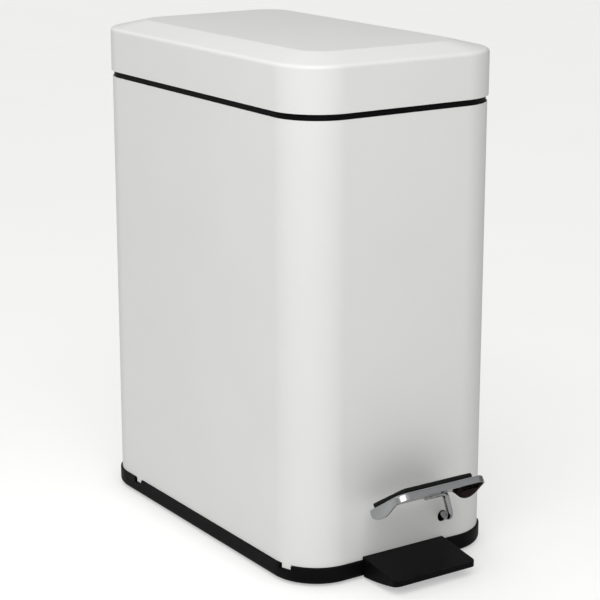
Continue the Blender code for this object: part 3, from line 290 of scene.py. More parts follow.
def moulded_black_abs():
    """Black ABS from a spark-eroded mould: a fine matt grain that greys its sheen.

    The real grain is about 0.4 mm across; it is drawn at 0.9 mm so that it shows.
    """
    material, tree, shader, place = start("moulded_black_abs", IOR=1.53, Specular_IOR_Level=0.07)
    cloud = add(tree, "ShaderNodeTexNoise", {"Vector": place, "Scale": every(12), "Detail": 3.0})
    tinted(tree, shader, cloud, "#070708", "#0C0C0D")
    satin(tree, shader, cloud, roughness=(0.40, 0.54))
    grain = add(tree, "ShaderNodeTexNoise", {
        "Vector": place, "Scale": every(0.9), "Detail": 3.0, "Roughness": 0.6,
    })
    relief(tree, shader, grain.outputs["Fac"], strength=0.5, depth=0.05 * MM)
    return material


def bucket_polypropylene():
    """Black polypropylene of the bucket: waxy, with upright draw marks from the mould and scuffs."""
    material, tree, shader, place = start("bucket_polypropylene", IOR=1.49)
    stretch = add(tree, "ShaderNodeMapping", {"Vector": place, "Scale": (1.0, 1.0, 0.05)})
    draw = add(tree, "ShaderNodeTexNoise", {
        "Vector": stretch.outputs["Vector"], "Scale": every(3), "Detail": 3.0,
    })
    scuff = add(tree, "ShaderNodeTexNoise", {
        "Vector": place, "Scale": every(18), "Detail": 5.0, "Distortion": 0.8,
    })
    tinted(tree, shader, scuff, "#1B1B1D", "#29292B")
    satin(tree, shader, draw, roughness=(0.36, 0.56))
    relief(tree, shader, draw.outputs["Fac"], strength=0.3, depth=0.05 * MM)
    return material


def chrome_plated_steel():
    """Bright nickel-chrome on pressed steel: a mirror with slow waves from the press and fine wiping marks.

    In the hollow of the tray the colour goes to a brown-black: a painted shade for the dark inside of the
    tray.
    """
    material, tree, shader, place = start("chrome_plated_steel", Metallic=1.0)
    haze = add(tree, "ShaderNodeTexNoise", {"Vector": place, "Scale": every(6), "Detail": 4.0})
    tone = tinted(tree, shader, haze, "#A6A7A9", "#B6B7B9")
    # painted shade: faces in the tray's hollow are coloured brown-black
    hollow_shade_mask = add(tree, "ShaderNodeAttribute", attribute_name=PAINTED_SHADE_MARK)
    tone_with_painted_shade = add(tree, "ShaderNodeMix", {
        "Factor": hollow_shade_mask.outputs["Fac"], "A": tone.outputs["Result"], "B": colour("#2C201D"),
    }, data_type="RGBA")
    tree.links.new(tone_with_painted_shade.outputs["Result"], shader.inputs["Base Color"])
    satin(tree, shader, haze, roughness=(0.05, 0.11))
    wave = add(tree, "ShaderNodeTexNoise", {"Vector": place, "Scale": every(8), "Detail": 1.0})
    relief(tree, shader, wave.outputs["Fac"], strength=0.3, depth=0.06 * MM)
    return material


def zinc_plated_steel():
    """Zinc on rod and sheet: a blue-grey satin metal clouded by the passivating bath."""
    material, tree, shader, place = start("zinc_plated_steel", Metallic=1.0)
    cloud = add(tree, "ShaderNodeTexNoise", {
        "Vector": place, "Scale": every(5), "Detail": 4.0, "Distortion": 0.5,
    })
    tinted(tree, shader, cloud, "#9A9FA6", "#BEC0C3")
    satin(tree, shader, cloud, roughness=(0.26, 0.44))
    crystal = add(tree, "ShaderNodeTexVoronoi", {"Vector": place, "Scale": every(1.2)})
    relief(tree, shader, crystal.outputs["Distance"], strength=0.2, depth=0.03 * MM)
    return material


def moulded_rubber():
    """Black rubber, pressed in a mould: dull, a little dusty in patches, with a stipple 0.7 mm across."""
    material, tree, shader, place = start("moulded_rubber", IOR=1.52, Specular_IOR_Level=0.15)
    dust = add(tree, "ShaderNodeTexNoise", {"Vector": place, "Scale": every(7), "Detail": 4.0})
    tinted(tree, shader, dust, "#0A0A0A", "#131314")
    satin(tree, shader, dust, roughness=(0.55, 0.78))
    stipple = add(tree, "ShaderNodeTexNoise", {"Vector": place, "Scale": every(0.7), "Detail": 2.0})
    relief(tree, shader, stipple.outputs["Fac"], strength=0.5, depth=0.05 * MM)
    return material


def natural_nylon():
    """Unpigmented nylon: a milky ivory that light enters a little, with a soft moulded sheen."""
    material, tree, shader, place = start(
        "natural_nylon", IOR=1.53, Subsurface_Weight=0.2, Subsurface_Scale=1.0 * MM)
    cloud = add(tree, "ShaderNodeTexNoise", {"Vector": place, "Scale": every(4), "Detail": 3.0})
    tinted(tree, shader, cloud, "#D3CBB6", "#E2DCCB")
    satin(tree, shader, cloud, roughness=(0.38, 0.52))
    relief(tree, shader, cloud.outputs["Fac"], strength=0.3, depth=0.04 * MM)
    return material


def studio_floor_paint():
    """Matt pale studio floor. It glows a little to the eye alone, and so goes to white past the shadow."""
    material, tree, shader, place = start("studio_floor_paint", Roughness=0.9)
    cloud = add(tree, "ShaderNodeTexNoise", {"Vector": place, "Scale": every(160), "Detail": 3.0})
    tinted(tree, shader, cloud, "#CFCFCD", "#D4D4D2")
    shader.inputs["Emission Color"].default_value = colour("#FFFFFF")
    seen = add(tree, "ShaderNodeLightPath")
    glow = add(tree, "ShaderNodeMath", {
        0: seen.outputs["Is Camera Ray"], 1: FLOOR_GLOW,
    }, operation="MULTIPLY")
    tree.links.new(glow.outputs["Value"], shader.inputs["Emission Strength"])
    return material


FINISHES = {
    "white_paint": powder_coated_steel(),
    "black_plastic": moulded_black_abs(),
    "black_bucket": bucket_polypropylene(),
    "natural_nylon": natural_nylon(),
    "chrome": chrome_plated_steel(),
    "zinc_steel": zinc_plated_steel(),
    "rubber": moulded_rubber(),
}


# ---------------------------------------------------------------- outlines and paths

def arc(centre, radius, start_angle, end_angle, steps):
    """Points along a circle's arc, angles in radians."""
    angles = [start_angle + (end_angle - start_angle) * i / steps for i in range(steps + 1)]
    return [(centre[0] + radius * math.cos(a), centre[1] + radius * math.sin(a)) for a in angles]


def rounded_rectangle(x0, x1, y0, y1, radius, steps=CORNER_STEPS):
    """Anticlockwise outline with the same number of points in each corner."""
    corners = ((x1, y1, -1, -1, 0), (x0, y1, 1, -1, 1), (x0, y0, 1, 1, 2), (x1, y0, -1, 1, 3))
    points = []
    for x, y, inward_x, inward_y, turn in corners:
        centre = (x + inward_x * radius, y + inward_y * radius)
        points += arc(centre, radius, turn * QUARTER, (turn + 1) * QUARTER, steps)
    return points


def body_outline(grow, radius=None):
    """The body's outline grown by a distance."""
    radius = CORNER + grow if radius is None else radius
    return rounded_rectangle(-HALF - grow, HALF + grow, FRONT - grow, REAR + grow, radius)


def side_x(y, grow=0.0):
    """X of the body's right side at a place along its depth, following the rounded corners."""
    into_corner = max(0, abs(y - CENTRE_Y) - ((REAR - FRONT) / 2 - CORNER))
    return HALF - CORNER + math.sqrt((CORNER + grow) ** 2 - into_corner ** 2)


def level(outline, z):
    return [Vector((x, y, z)) for x, y in outline]


def soft_corner(before, corner, after, size, steps):
    """Points that round a corner of a profile, starting and ending size away from it."""
    corner = Vector(corner)
    first = corner + (Vector(before) - corner).normalized() * size
    last = corner + (Vector(after) - corner).normalized() * size
    shares = [i / steps for i in range(steps + 1)]
    return [first * (1 - s) ** 2 + corner * (2 * s * (1 - s)) + last * s ** 2 for s in shares]


def bent_path(points, radii, steps=12):
    """A path whose inner corners are rounded, with one radius for each."""
    corners = [Vector(p) for p in points]
    path = [corners[0]]
    for before, corner, after, bend in zip(corners, corners[1:], corners[2:], radii):
        u = (before - corner).normalized()
        v = (after - corner).normalized()
        half = u.angle(v) / 2
        middle = corner + (u + v).normalized() * (bend / math.sin(half))
        first = corner + u * (bend / math.tan(half)) - middle
        last = corner + v * (bend / math.tan(half)) - middle
        for i in range(steps + 1):
            path.append(middle + first.slerp(last, i / steps).normalized() * bend)
    path.append(corners[-1])
    return path


# ---------------------------------------------------------------- meshes

def object_from(name, mesh):
    mesh.name = name
    obj = bpy.data.objects.new(name, mesh)
    bpy.context.scene.collection.objects.link(obj)
    return obj


def from_bmesh(name, body, place=Matrix.Identity(4)):
    mesh = bpy.data.meshes.new(name)
    body.to_mesh(mesh)
    body.free()
    mesh.transform(place)
    return object_from(name, mesh)


def loft(name, rings, cap_first=False, cap_last=False, ring_closed=False):
    """Rings of one point count joined in order, or round and back to the first."""
    body = bmesh.new()
    loops = [[body.verts.new(point) for point in ring] for ring in rings]
    pairs = list(zip(loops, loops[1:] + loops[:1])) if ring_closed else list(zip(loops, loops[1:]))
    count = len(loops[0])
    for lower, upper in pairs:
        for i in range(count):
            j = (i + 1) % count
            body.faces.new((lower[i], lower[j], upper[j], upper[i]))
    if cap_first:
        body.faces.new(list(reversed(loops[0])))
    if cap_last:
        body.faces.new(loops[-1])
    return from_bmesh(name, body)


def box(name, x, y, z):
    """A box between pairs of limits."""
    body = bmesh.new()
    size = Matrix.Diagonal((x[1] - x[0], y[1] - y[0], z[1] - z[0], 1))
    middle = Matrix.Translation((sum(x) / 2, sum(y) / 2, sum(z) / 2))
    bmesh.ops.create_cube(body, size=1, matrix=middle @ size)
    return from_bmesh(name, body)


def prism(name, outline, low, high, turn=Matrix.Identity(4)):
    """A flat outline between two heights, then turned into place."""
    tube = loft(name, [level(outline, low), level(outline, high)], cap_first=True, cap_last=True)
    tube.data.transform(turn)
    return tube


def wire(name, path, radius):
    """A round rod along a path, with flat ends."""
    curve = bpy.data.curves.new(name, "CURVE")
    curve.dimensions = "3D"
    curve.bevel_depth = radius
    curve.bevel_resolution = ROUND_STEPS // 4 - 1
    curve.use_fill_caps = True
    spline = curve.splines.new("POLY")
    spline.points.add(len(path) - 1)
    for point, place in zip(spline.points, path):
        point.co = (*place, 1)
    source = bpy.data.objects.new(name + "_path", curve)
    bpy.context.scene.collection.objects.link(source)
    obj = object_from(name, evaluated_mesh(source))
    bpy.data.objects.remove(source, do_unlink=True)
    return merged(obj)


def evaluated_mesh(obj):
    graph = bpy.context.evaluated_depsgraph_get()
    return bpy.data.meshes.new_from_object(obj.evaluated_get(graph), depsgraph=graph)


def merged(obj, flat_angle=None):
    """Doubles merged and faces turned outwards; with an angle, flat neighbours become one face."""
    body = bmesh.new()
    body.from_mesh(obj.data)
    bmesh.ops.remove_doubles(body, verts=body.verts, dist=WELD)
    if flat_angle is not None:
        bmesh.ops.dissolve_limit(body, angle_limit=flat_angle, verts=body.verts, edges=body.edges)
    bmesh.ops.recalc_face_normals(body, faces=body.faces)
    body.to_mesh(obj.data)
    body.free()
    return obj


def settled(obj):
    """The object's modifiers worked into its mesh."""
    mesh = evaluated_mesh(obj)
    obj.modifiers.clear()
    obj.data = mesh
    return obj


def boolean(obj, other, operation="DIFFERENCE"):
    modifier = obj.modifiers.new(other.name, "BOOLEAN")
    modifier.operation = operation
    modifier.solver = "EXACT"
    modifier.object = other
    settled(obj)
    bpy.data.objects.remove(other, do_unlink=True)
    return obj


def eased(obj, width, segments=2, angle=35, sharp=50):
    """Edges rounded over a width, then shaded so that flat faces stay flat."""
    if width:
        edges = obj.modifiers.new("edges", "BEVEL")
        edges.width = width
        edges.segments = segments
        edges.limit_method = "ANGLE"
        edges.angle_limit = math.radians(angle)
        edges.use_clamp_overlap = True
        settled(obj)
    obj.data.shade_smooth()
    obj.data.set_sharp_from_angle(angle=math.radians(sharp))
    obj.modifiers.new("shading", "WEIGHTED_NORMAL").keep_sharp = True
    return settled(obj)


def dressed(obj, body, slot, *nodes):
    """A finished piece: the material of its slot, its body, and the nodes it stands for hidden."""
    obj.data.materials.clear()
    obj.data.materials.append(FINISHES[slot])
    obj.data.polygons.foreach_set("material_index", [0] * len(obj.data.polygons))
    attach(obj, body)
    if nodes:
        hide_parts(*nodes)
    return obj


# ---------------------------------------------------------------- repeated details, by Geometry Nodes

def tree_with(name, sizes):
    """A geometry node tree with named inputs for its sizes and its material."""
    tree = bpy.data.node_groups.new(name, "GeometryNodeTree")
    for label, kind in sizes:
        tree.interface.new_socket(label, in_out="INPUT", socket_type=kind)
    tree.interface.new_socket("Material", in_out="INPUT", socket_type="NodeSocketMaterial")
    tree.interface.new_socket("Geometry", in_out="OUTPUT", socket_type="NodeSocketGeometry")
    return tree, add(tree, "NodeGroupInput").outputs


def row_of(tree, given, axis):
    """Evenly spaced points along one axis."""
    step = add(tree, "ShaderNodeCombineXYZ", {axis: given["Spacing"]})
    return add(tree, "GeometryNodeMeshLine", {
        "Count": given["Count"], "Offset": step.outputs["Vector"],
    }, mode="OFFSET")


def end_tree(tree, given, points, shape, scale=None):
    """The shape set on each point, made real and given its material."""
    inputs = {"Points": points, "Instance": shape}
    if scale is not None:
        inputs["Scale"] = scale
    spread = add(tree, "GeometryNodeInstanceOnPoints", inputs)
    real = add(tree, "GeometryNodeRealizeInstances", {"Geometry": spread.outputs["Instances"]})
    coat = add(tree, "GeometryNodeSetMaterial", {
        "Geometry": real.outputs["Geometry"], "Material": given["Material"],
    })
    add(tree, "NodeGroupOutput", {"Geometry": coat.outputs["Geometry"]})
    return tree


def bar_row_tree():
    """Half-sunk round bars along X, one after another along Y, from the first length to the last."""
    sizes = (("Count", "NodeSocketInt"), ("Spacing", "NodeSocketFloat"), ("Bar Radius", "NodeSocketFloat"),
             ("First Length", "NodeSocketFloat"), ("Last Length", "NodeSocketFloat"))
    tree, given = tree_with("bar_row", sizes)
    row = row_of(tree, given, "Y")
    line = add(tree, "GeometryNodeCurvePrimitiveLine", {"Start": (-0.5, 0, 0), "End": (0.5, 0, 0)})
    ring = add(tree, "GeometryNodeCurvePrimitiveCircle", {"Resolution": 12, "Radius": given["Bar Radius"]})
    bar = add(tree, "GeometryNodeCurveToMesh", {
        "Curve": line.outputs["Curve"],
        "Profile Curve": ring.outputs["Curve"],
        "Fill Caps": True,
    })
    last = add(tree, "ShaderNodeMath", {0: given["Count"], 1: 1.0}, operation="SUBTRACT")
    place = add(tree, "GeometryNodeInputIndex")
    length = add(tree, "ShaderNodeMapRange", {
        "Value": place.outputs["Index"],
        "From Max": last.outputs["Value"],
        "To Min": given["First Length"],
        "To Max": given["Last Length"],
    })
    scale = add(tree, "ShaderNodeCombineXYZ", {"X": length.outputs["Result"], "Y": 1.0, "Z": 1.0})
    return end_tree(tree, given, row.outputs["Mesh"], bar.outputs["Mesh"], scale.outputs["Vector"])


def ring_row_tree():
    """Round rings about X, one after another along X."""
    sizes = (("Count", "NodeSocketInt"), ("Spacing", "NodeSocketFloat"), ("Ring Radius", "NodeSocketFloat"),
             ("Bead Radius", "NodeSocketFloat"))
    tree, given = tree_with("ring_row", sizes)
    row = row_of(tree, given, "X")
    ring = add(tree, "GeometryNodeCurvePrimitiveCircle", {"Resolution": 28, "Radius": given["Ring Radius"]})
    bead = add(tree, "GeometryNodeCurvePrimitiveCircle", {"Resolution": 8, "Radius": given["Bead Radius"]})
    tyre = add(tree, "GeometryNodeCurveToMesh", {
        "Curve": ring.outputs["Curve"],
        "Profile Curve": bead.outputs["Curve"],
    })
    upright = add(tree, "GeometryNodeTransform", {
        "Geometry": tyre.outputs["Mesh"], "Rotation": (0, QUARTER, 0),
    })
    return end_tree(tree, given, row.outputs["Mesh"], upright.outputs["Geometry"])


def grown(name, tree, place, slot, **sizes):
    """A tree's result as a plain mesh at its place."""
    obj = object_from(name, bpy.data.meshes.new(name))
    modifier = obj.modifiers.new(tree.name, "NODES")
    modifier.node_group = tree
    wanted = {label.replace("_", " ").title(): value for label, value in sizes.items()}
    wanted["Material"] = FINISHES[slot]
    for socket in tree.interface.items_tree:
        if socket.item_type == "SOCKET" and socket.name in wanted:
            modifier[socket.identifier] = wanted[socket.name]
    settled(obj)
    obj.data.transform(place)
    merged(obj)
    return eased(obj, 0)


# ---------------------------------------------------------------- body

# From an outline and its heights: drawn in Y and Z along X, or drawn in X and Z along -Y
TURN_TO_X = Matrix(((0, 0, 1, 0), (1, 0, 0, 0), (0, 1, 0, 0), (0, 0, 0, 1)))
TURN_TO_Y = Matrix(((1, 0, 0, 0), (0, 0, -1, 0), (0, 1, 0, 0), (0, 0, 0, 1)))


def circle(centre, radius, steps=ROUND_STEPS):
    return arc(centre, radius, 0, math.tau, steps)[:-1]


def middle_of(node):
    low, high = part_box(node)
    return (low + high) / 2


def slot_heights():
    """Lowest and highest point of the slot for the pedal rod, read from the frame."""
    points = [v.co for v in frame["nodes"]["body_shell"].data.vertices]
    heights = [p.z for p in points if abs(p.x - ROD_X) < SLOT_WIDTH and p.y < FRONT + MM
               and BODY_BOTTOM + MM < p.z < BODY_TOP - MM]
    return min(heights), max(heights)


def make_body():
    outer, inner = body_outline(0), body_outline(-STEEL)
    rings = [level(outer, body_low.z), level(outer, BODY_TOP),
             level(inner, BODY_TOP), level(inner, body_low.z)]
    shell = loft("painted_body", rings, ring_closed=True)
    around = 2 * CUT
    trim = box("trim", (-HALF - around, HALF + around), (FRONT - around, REAR + around), (0, BODY_BOTTOM))
    half = TAB_WIDTH / 2
    for sign in SIGNS:
        for y in TAB_PLACES:
            inside = side_x(abs(y - CENTRE_Y) + half + CENTRE_Y, -STEEL) - CUT
            x = sorted((sign * inside, sign * (HALF + 2 * around)))
            boolean(trim, box("tab", x, (y - half, y + half), (-CUT, BODY_BOTTOM + CUT)))
    boolean(shell, trim)
    low, high = slot_heights()
    radius = SLOT_WIDTH / 2
    steps = ROUND_STEPS // 2
    slot = arc((ROD_X, high - radius), radius, 0, math.pi, steps)
    slot += arc((ROD_X, low + radius), radius, math.pi, math.tau, steps)
    boolean(shell, prism("slot", slot, -FRONT - STEEL - CUT, -FRONT + CUT, TURN_TO_Y))
    for name in ("guide_rivet_lower", "guide_rivet_upper"):
        spot = middle_of(name)
        hole = circle((spot.x, spot.z), RIVET_HOLE)
        boolean(shell, prism("hole", hole, -REAR - CUT, -REAR + STEEL + CUT, TURN_TO_Y))
    dressed(eased(merged(shell), SHEET_EDGE), "can_body", "white_paint", "body_shell")


def make_rear_seam():
    """The lap where the sleeve's two ends are welded, down the middle of the back."""
    half, top = SEAM_WIDTH / 2, SEAM_WIDTH / 2 - SEAM_PROUD
    outline = [(-half, -GAP), (half, -GAP), (top, SEAM_PROUD), (-top, SEAM_PROUD)]
    seam = prism("rear_seam", outline, BODY_BOTTOM + SEAM_FROM_BOTTOM, BODY_TOP - SEAM_FROM_TOP)
    seam.data.transform(Matrix.Translation((0, REAR, 0)))
    dressed(eased(merged(seam), SEAM_EDGE), "can_body", "white_paint")


def make_base():
    inner = -(STEEL + GAP)
    top = BODY_BOTTOM - GAP
    rim = arc((BASE_PROUD - BASE_ROUND, base_low.z + BASE_ROUND), BASE_ROUND, -QUARTER, 0, 10)
    profile = rim + soft_corner(rim[-1], (BASE_PROUD, top), (inner, top), BASE_TOP_EDGE, 4)
    profile += [(inner, top), (inner, base_high.z), (inner - LIP_THICKNESS, base_high.z),
                (inner - LIP_THICKNESS, FLOOR_TOP)]
    rings = [level(body_outline(grow), z) for grow, z in profile]
    tray = loft("base_moulding", rings, cap_first=True, cap_last=True)
    for name in ("front_left", "front_right", "rear_left", "rear_right"):
        low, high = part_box("rubber_pad_" + name)
        centre = ((low.x + high.x) / 2, (low.y + high.y) / 2)
        boolean(tray, prism("recess", circle(centre, (high.x - low.x) / 2 + GAP), -CUT, high.z + GAP))
    for side in ("left", "right"):
        low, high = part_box("bracket_screw_" + side)
        centre = ((low.x + high.x) / 2, (low.y + high.y) / 2)
        boolean(tray, prism("hole", circle(centre, SCREW_HOLE), -CUT, BODY_BOTTOM))
    half = TAB_WIDTH / 2 + NOTCH_ROOM
    for sign in SIGNS:
        for y in TAB_PLACES:
            inside = side_x(abs(y - CENTRE_Y) + half + CENTRE_Y, inner) - GAP
            x = sorted((sign * inside, sign * (HALF + 2 * BASE_PROUD)))
            boolean(tray, box("notch", x, (y - half, y + half), (body_low.z - GAP, BODY_BOTTOM + CUT)))
    dressed(eased(merged(tray), MOULDED_EDGE), "can_body", "black_plastic", "base_tray")


def make_foot():
    """The toe plate: an arched underside, a sloping top and rounded front corners."""
    rear, front = foot_high.y, foot_low.y
    step = BODY_BOTTOM + GAP
    wall = FRONT - BASE_PROUD - GAP
    under = []
    for i in range(ROUND_STEPS // 2 + 1):
        share = i / (ROUND_STEPS // 2)
        rise = (FOOT_FRONT_BOTTOM - FOOT_REAR_BOTTOM) * (1 - share) ** FOOT_ARCH
        under.append((front + (wall - front) * share, FOOT_REAR_BOTTOM + rise))
    side = under + [(wall, step), (rear, step), (rear, foot_high.z), (front, FOOT_FRONT_TOP)]
    half = foot_high.x
    foot = prism("toe_plate", side, -half, half, TURN_TO_X)
    corner = FOOT_CORNER
    right = arc((half - corner, front + corner), corner, -QUARTER, 0, 12)
    left = arc((-half + corner, front + corner), corner, 2 * QUARTER, 3 * QUARTER, 12)
    plan = left + right + [(half, rear + CUT), (-half, rear + CUT)]
    boolean(foot, prism("plan", plan, -CUT, 2 * foot_high.z), "INTERSECT")
    dressed(eased(merged(foot), FOOT_EDGE, segments=4), "can_body", "black_plastic", "front_foot")


# ---------------------------------------------------------------- lid

def make_lid():
    top_z = lid_high.z - LID_CROWN
    crease_z = lid_high.z - LID_RISE
    bottom, crease = (LID_PROUD, lid_low.z), (LID_PROUD, crease_z)
    edge = (LID_PROUD - LID_BORDER, top_z)
    middle = (edge[0] - LID_BORDER, top_z)
    profile = [Vector(bottom)]
    profile += soft_corner(bottom, crease, edge, LID_SOFT_EDGE, 10)
    profile += soft_corner(crease, edge, middle, LID_INNER_EDGE, 6)
    rings = []
    for grow, z in profile:
        share = (LID_PROUD - grow) / LID_BORDER
        radius = (CORNER + LID_PROUD) * (1 - share) + LID_TOP_CORNER * share
        rings.append(level(body_outline(grow, radius), z))
    reach = HALF + profile[-1][0] - LID_CROWN_END
    for i in range(LID_CROWN_RINGS):
        share = (i + 1) / LID_CROWN_RINGS
        radius = max(LID_TOP_CORNER * (1 - share), MM)
        z = top_z + LID_CROWN * (1 - (1 - share) ** 2)
        rings.append(level(body_outline(profile[-1][0] - reach * share, radius), z))
    lid = loft("painted_lid", rings, cap_last=True)
    wall = lid.modifiers.new("wall", "SOLIDIFY")
    wall.thickness = STEEL
    wall.offset = -1
    wall.use_even_offset = True
    settled(lid)
    half = pin_high.x - STEEL
    y = (REAR - STEEL - CUT, REAR + LID_PROUD + CUT)
    boolean(lid, box("notch", (-half, half), y, (lid_low.z - CUT, lid_low.z + LID_NOTCH_HEIGHT)))
    dressed(eased(merged(lid), SHEET_EDGE), "lid", "white_paint", "lid_shell")


def make_liner_ribs(bars):
    """Stiffening ribs moulded across the underside of the lid's liner."""
    under = liner_high.z - LINER_THICKNESS
    place = Matrix.Translation((0, FRONT + LINER_RIB_FIRST, under))
    length = 2 * (HALF - LINER_RIB_MARGIN)
    ribs = grown("liner_ribs", bars, place, "black_plastic", count=LINER_RIB_COUNT, spacing=LINER_RIB_SPACING,
                 bar_radius=LINER_RIB_RADIUS, first_length=length, last_length=length)
    dressed(ribs, "lid", "black_plastic")


# ---------------------------------------------------------------- pedal

def pedal_place():
    """From the tray's own plane (X across, Y from its rear edge to the front, Z up) to the frame."""
    turn = Matrix.Rotation(-PEDAL_TILT, 4, "X") @ Matrix.Rotation(math.pi, 4, "Z")
    return Matrix.Translation((0, plate_high.y, PEDAL_REAR_HEIGHT)) @ turn


def flange_depth(distance):
    """Depth of the tray's border at a distance from its rear edge: a lobe that eases to the front."""
    if distance < LOBE_PEAK:
        return max(PEDAL_METAL, LOBE_DEPTH * math.sqrt(1 - (1 - distance / LOBE_PEAK) ** 2))
    share = (distance - LOBE_PEAK) / (PEDAL_LENGTH - LOBE_PEAK)
    return FLANGE_DEPTH + (LOBE_DEPTH - FLANGE_DEPTH) * (1 + math.cos(math.pi * min(share, 1))) / 2


def mark_painted_hollow_shade(plate):
    """Faces that look towards the middle of the tray's hollow get the mark for the painted shade."""
    back = pedal_place().inverted()
    turn = back.to_3x3()
    middle = Vector((0, PEDAL_LENGTH / 2, -HOLLOW_DEPTH))
    faces = plate.data.polygons
    marks = [float((turn @ face.normal).dot(back @ face.center - middle) < 0) for face in faces]
    plate.data.attributes.new(PAINTED_SHADE_MARK, "FLOAT", "FACE").data.foreach_set("value", marks)
    return plate


def make_plate():
    """The pressed tray: a flat plate whose border turns down over a round fold."""
    half = plate_high.x
    straight = PEDAL_LENGTH - PEDAL_CORNER
    rear = PEDAL_REAR_CORNER
    stations = []
    for x, y in arc((0, 0), 1, -QUARTER, 0, 10):
        stations.append(((half + rear * (x - 1), rear * (y + 1)), (x, y)))
    for i in range(1, SIDE_STEPS):
        stations.append(((half, rear + (straight - rear) * i / SIDE_STEPS), (1, 0)))
    for x, y in arc((0, 0), 1, 0, QUARTER, 16):
        stations.append(((half - PEDAL_CORNER + PEDAL_CORNER * x, straight + PEDAL_CORNER * y), (x, y)))
    stations += [((-x, y), (-nx, ny)) for (x, y), (nx, ny) in reversed(stations)]
    rings = []
    for (x, y), (out_x, out_y) in stations:
        depth = flange_depth(y)
        fold = min(PEDAL_FOLD, PEDAL_FOLD_SHARE * depth)
        ring = []
        for i in range(FOLD_STEPS + 1):
            turn = QUARTER * i / FOLD_STEPS
            inward = fold * (1 - math.sin(turn))
            ring.append(Vector((x - out_x * inward, y - out_y * inward, -fold * (1 - math.cos(turn)))))
        ring += [Vector((x, y, -fold - (depth - fold) * share)) for share in (0.5, 1)]
        rings.append(ring)
    body = bmesh.new()
    rows = [[body.verts.new(point) for point in ring] for ring in rings]
    for row, following in zip(rows, rows[1:]):
        for i in range(len(row) - 1):
            body.faces.new((row[i], row[i + 1], following[i + 1], following[i]))
    body.faces.new([row[0] for row in rows])
    bmesh.ops.recalc_face_normals(body, faces=body.faces)
    body.faces.ensure_lookup_table()
    if body.faces[-1].normal.z < 0:
        bmesh.ops.reverse_faces(body, faces=body.faces)
    plate = from_bmesh("pressed_tray", body, pedal_place())
    wall = plate.modifiers.new("wall", "SOLIDIFY")
    wall.thickness = PEDAL_METAL
    wall.offset = -1
    wall.use_even_offset = True
    settled(plate)
    dressed(mark_painted_hollow_shade(eased(plate, PEDAL_EDGE, segments=3)), "pedal", "chrome", "pedal_plate")


def rounded_polygon(points, radius, steps=6):
    """A flat outline with its corners rounded."""
    corners = [Vector((x, y, 0)) for x, y in points]
    path = bent_path(corners[-1:] + corners + corners[:1], [radius] * len(corners), steps)
    return [(p.x, p.y) for p in path[1:-1]]


def make_pad(bars):
    front = PEDAL_LENGTH - TREAD_FRONT_INSET
    wide, narrow = TREAD_REAR_WIDTH / 2, TREAD_FRONT_WIDTH / 2
    corners = [(-wide, TREAD_REAR_INSET), (wide, TREAD_REAR_INSET), (narrow, front), (-narrow, front)]
    top = GAP + TREAD_THICKNESS - RIB_RADIUS
    pad = prism("tread_pad", rounded_polygon(corners, TREAD_CORNER), GAP, top)
    eased(merged(pad), TREAD_EDGE, segments=4)
    pad.data.transform(pedal_place())
    dressed(pad, "pedal", "rubber", "pedal_pad")
    spacing = (front - TREAD_REAR_INSET - 2 * TREAD_MARGIN) / (RIB_COUNT - 1)
    place = pedal_place() @ Matrix.Translation((0, TREAD_REAR_INSET + TREAD_MARGIN, top))
    ribs = grown("tread_ribs", bars, place, "rubber", count=RIB_COUNT, spacing=spacing, bar_radius=RIB_RADIUS,
                 first_length=TREAD_REAR_WIDTH - 2 * TREAD_MARGIN,
                 last_length=TREAD_FRONT_WIDTH - 2 * TREAD_MARGIN)
    dressed(ribs, "pedal", "rubber")


def make_rod():
    path = bent_path([
        (ROD_X, rod_high.y, ROD_HEIGHT),
        (ROD_X, FRONT - ROD_OUT, ROD_HEIGHT),
        (ROD_X - ROD_LEAN, FRONT - WELD_OUT, WELD_HEIGHT),
        (WELD_X, FRONT - WELD_OUT, WELD_HEIGHT),
    ], (ROD_BEND, ROD_BEND))
    rod = wire("lever_rod", path, ROD_RADIUS)
    dressed(eased(rod, ROD_END_EDGE), "pedal", "chrome", "pedal_rod")


def make_welds():
    """Rippled weld beads in the corner between the rod and the tray."""
    seat = Vector((0, FRONT - WELD_OUT - SEAT_FORWARD, WELD_HEIGHT + SEAT_UP))
    for number, x in enumerate(BEAD_PLACES):
        rings = []
        for k in range(BEAD_RINGS):
            along = -1 + 2 * (k + 0.5) / BEAD_RINGS
            ripple = 1 + RIPPLE_SHARE * math.sin(RIPPLE_TURN * along)
            ring = circle((seat.y, seat.z), BEAD_RADIUS * math.sqrt(1 - along ** 2) * ripple, BEAD_FACES)
            rings.append([Vector((x + BEAD_REACH * along, y, z)) for y, z in ring])
        bead = loft(f"weld_bead_{number}", rings, cap_first=True, cap_last=True)
        dressed(eased(merged(bead), 0), "pedal", "zinc_steel")


# ---------------------------------------------------------------- bucket and handle

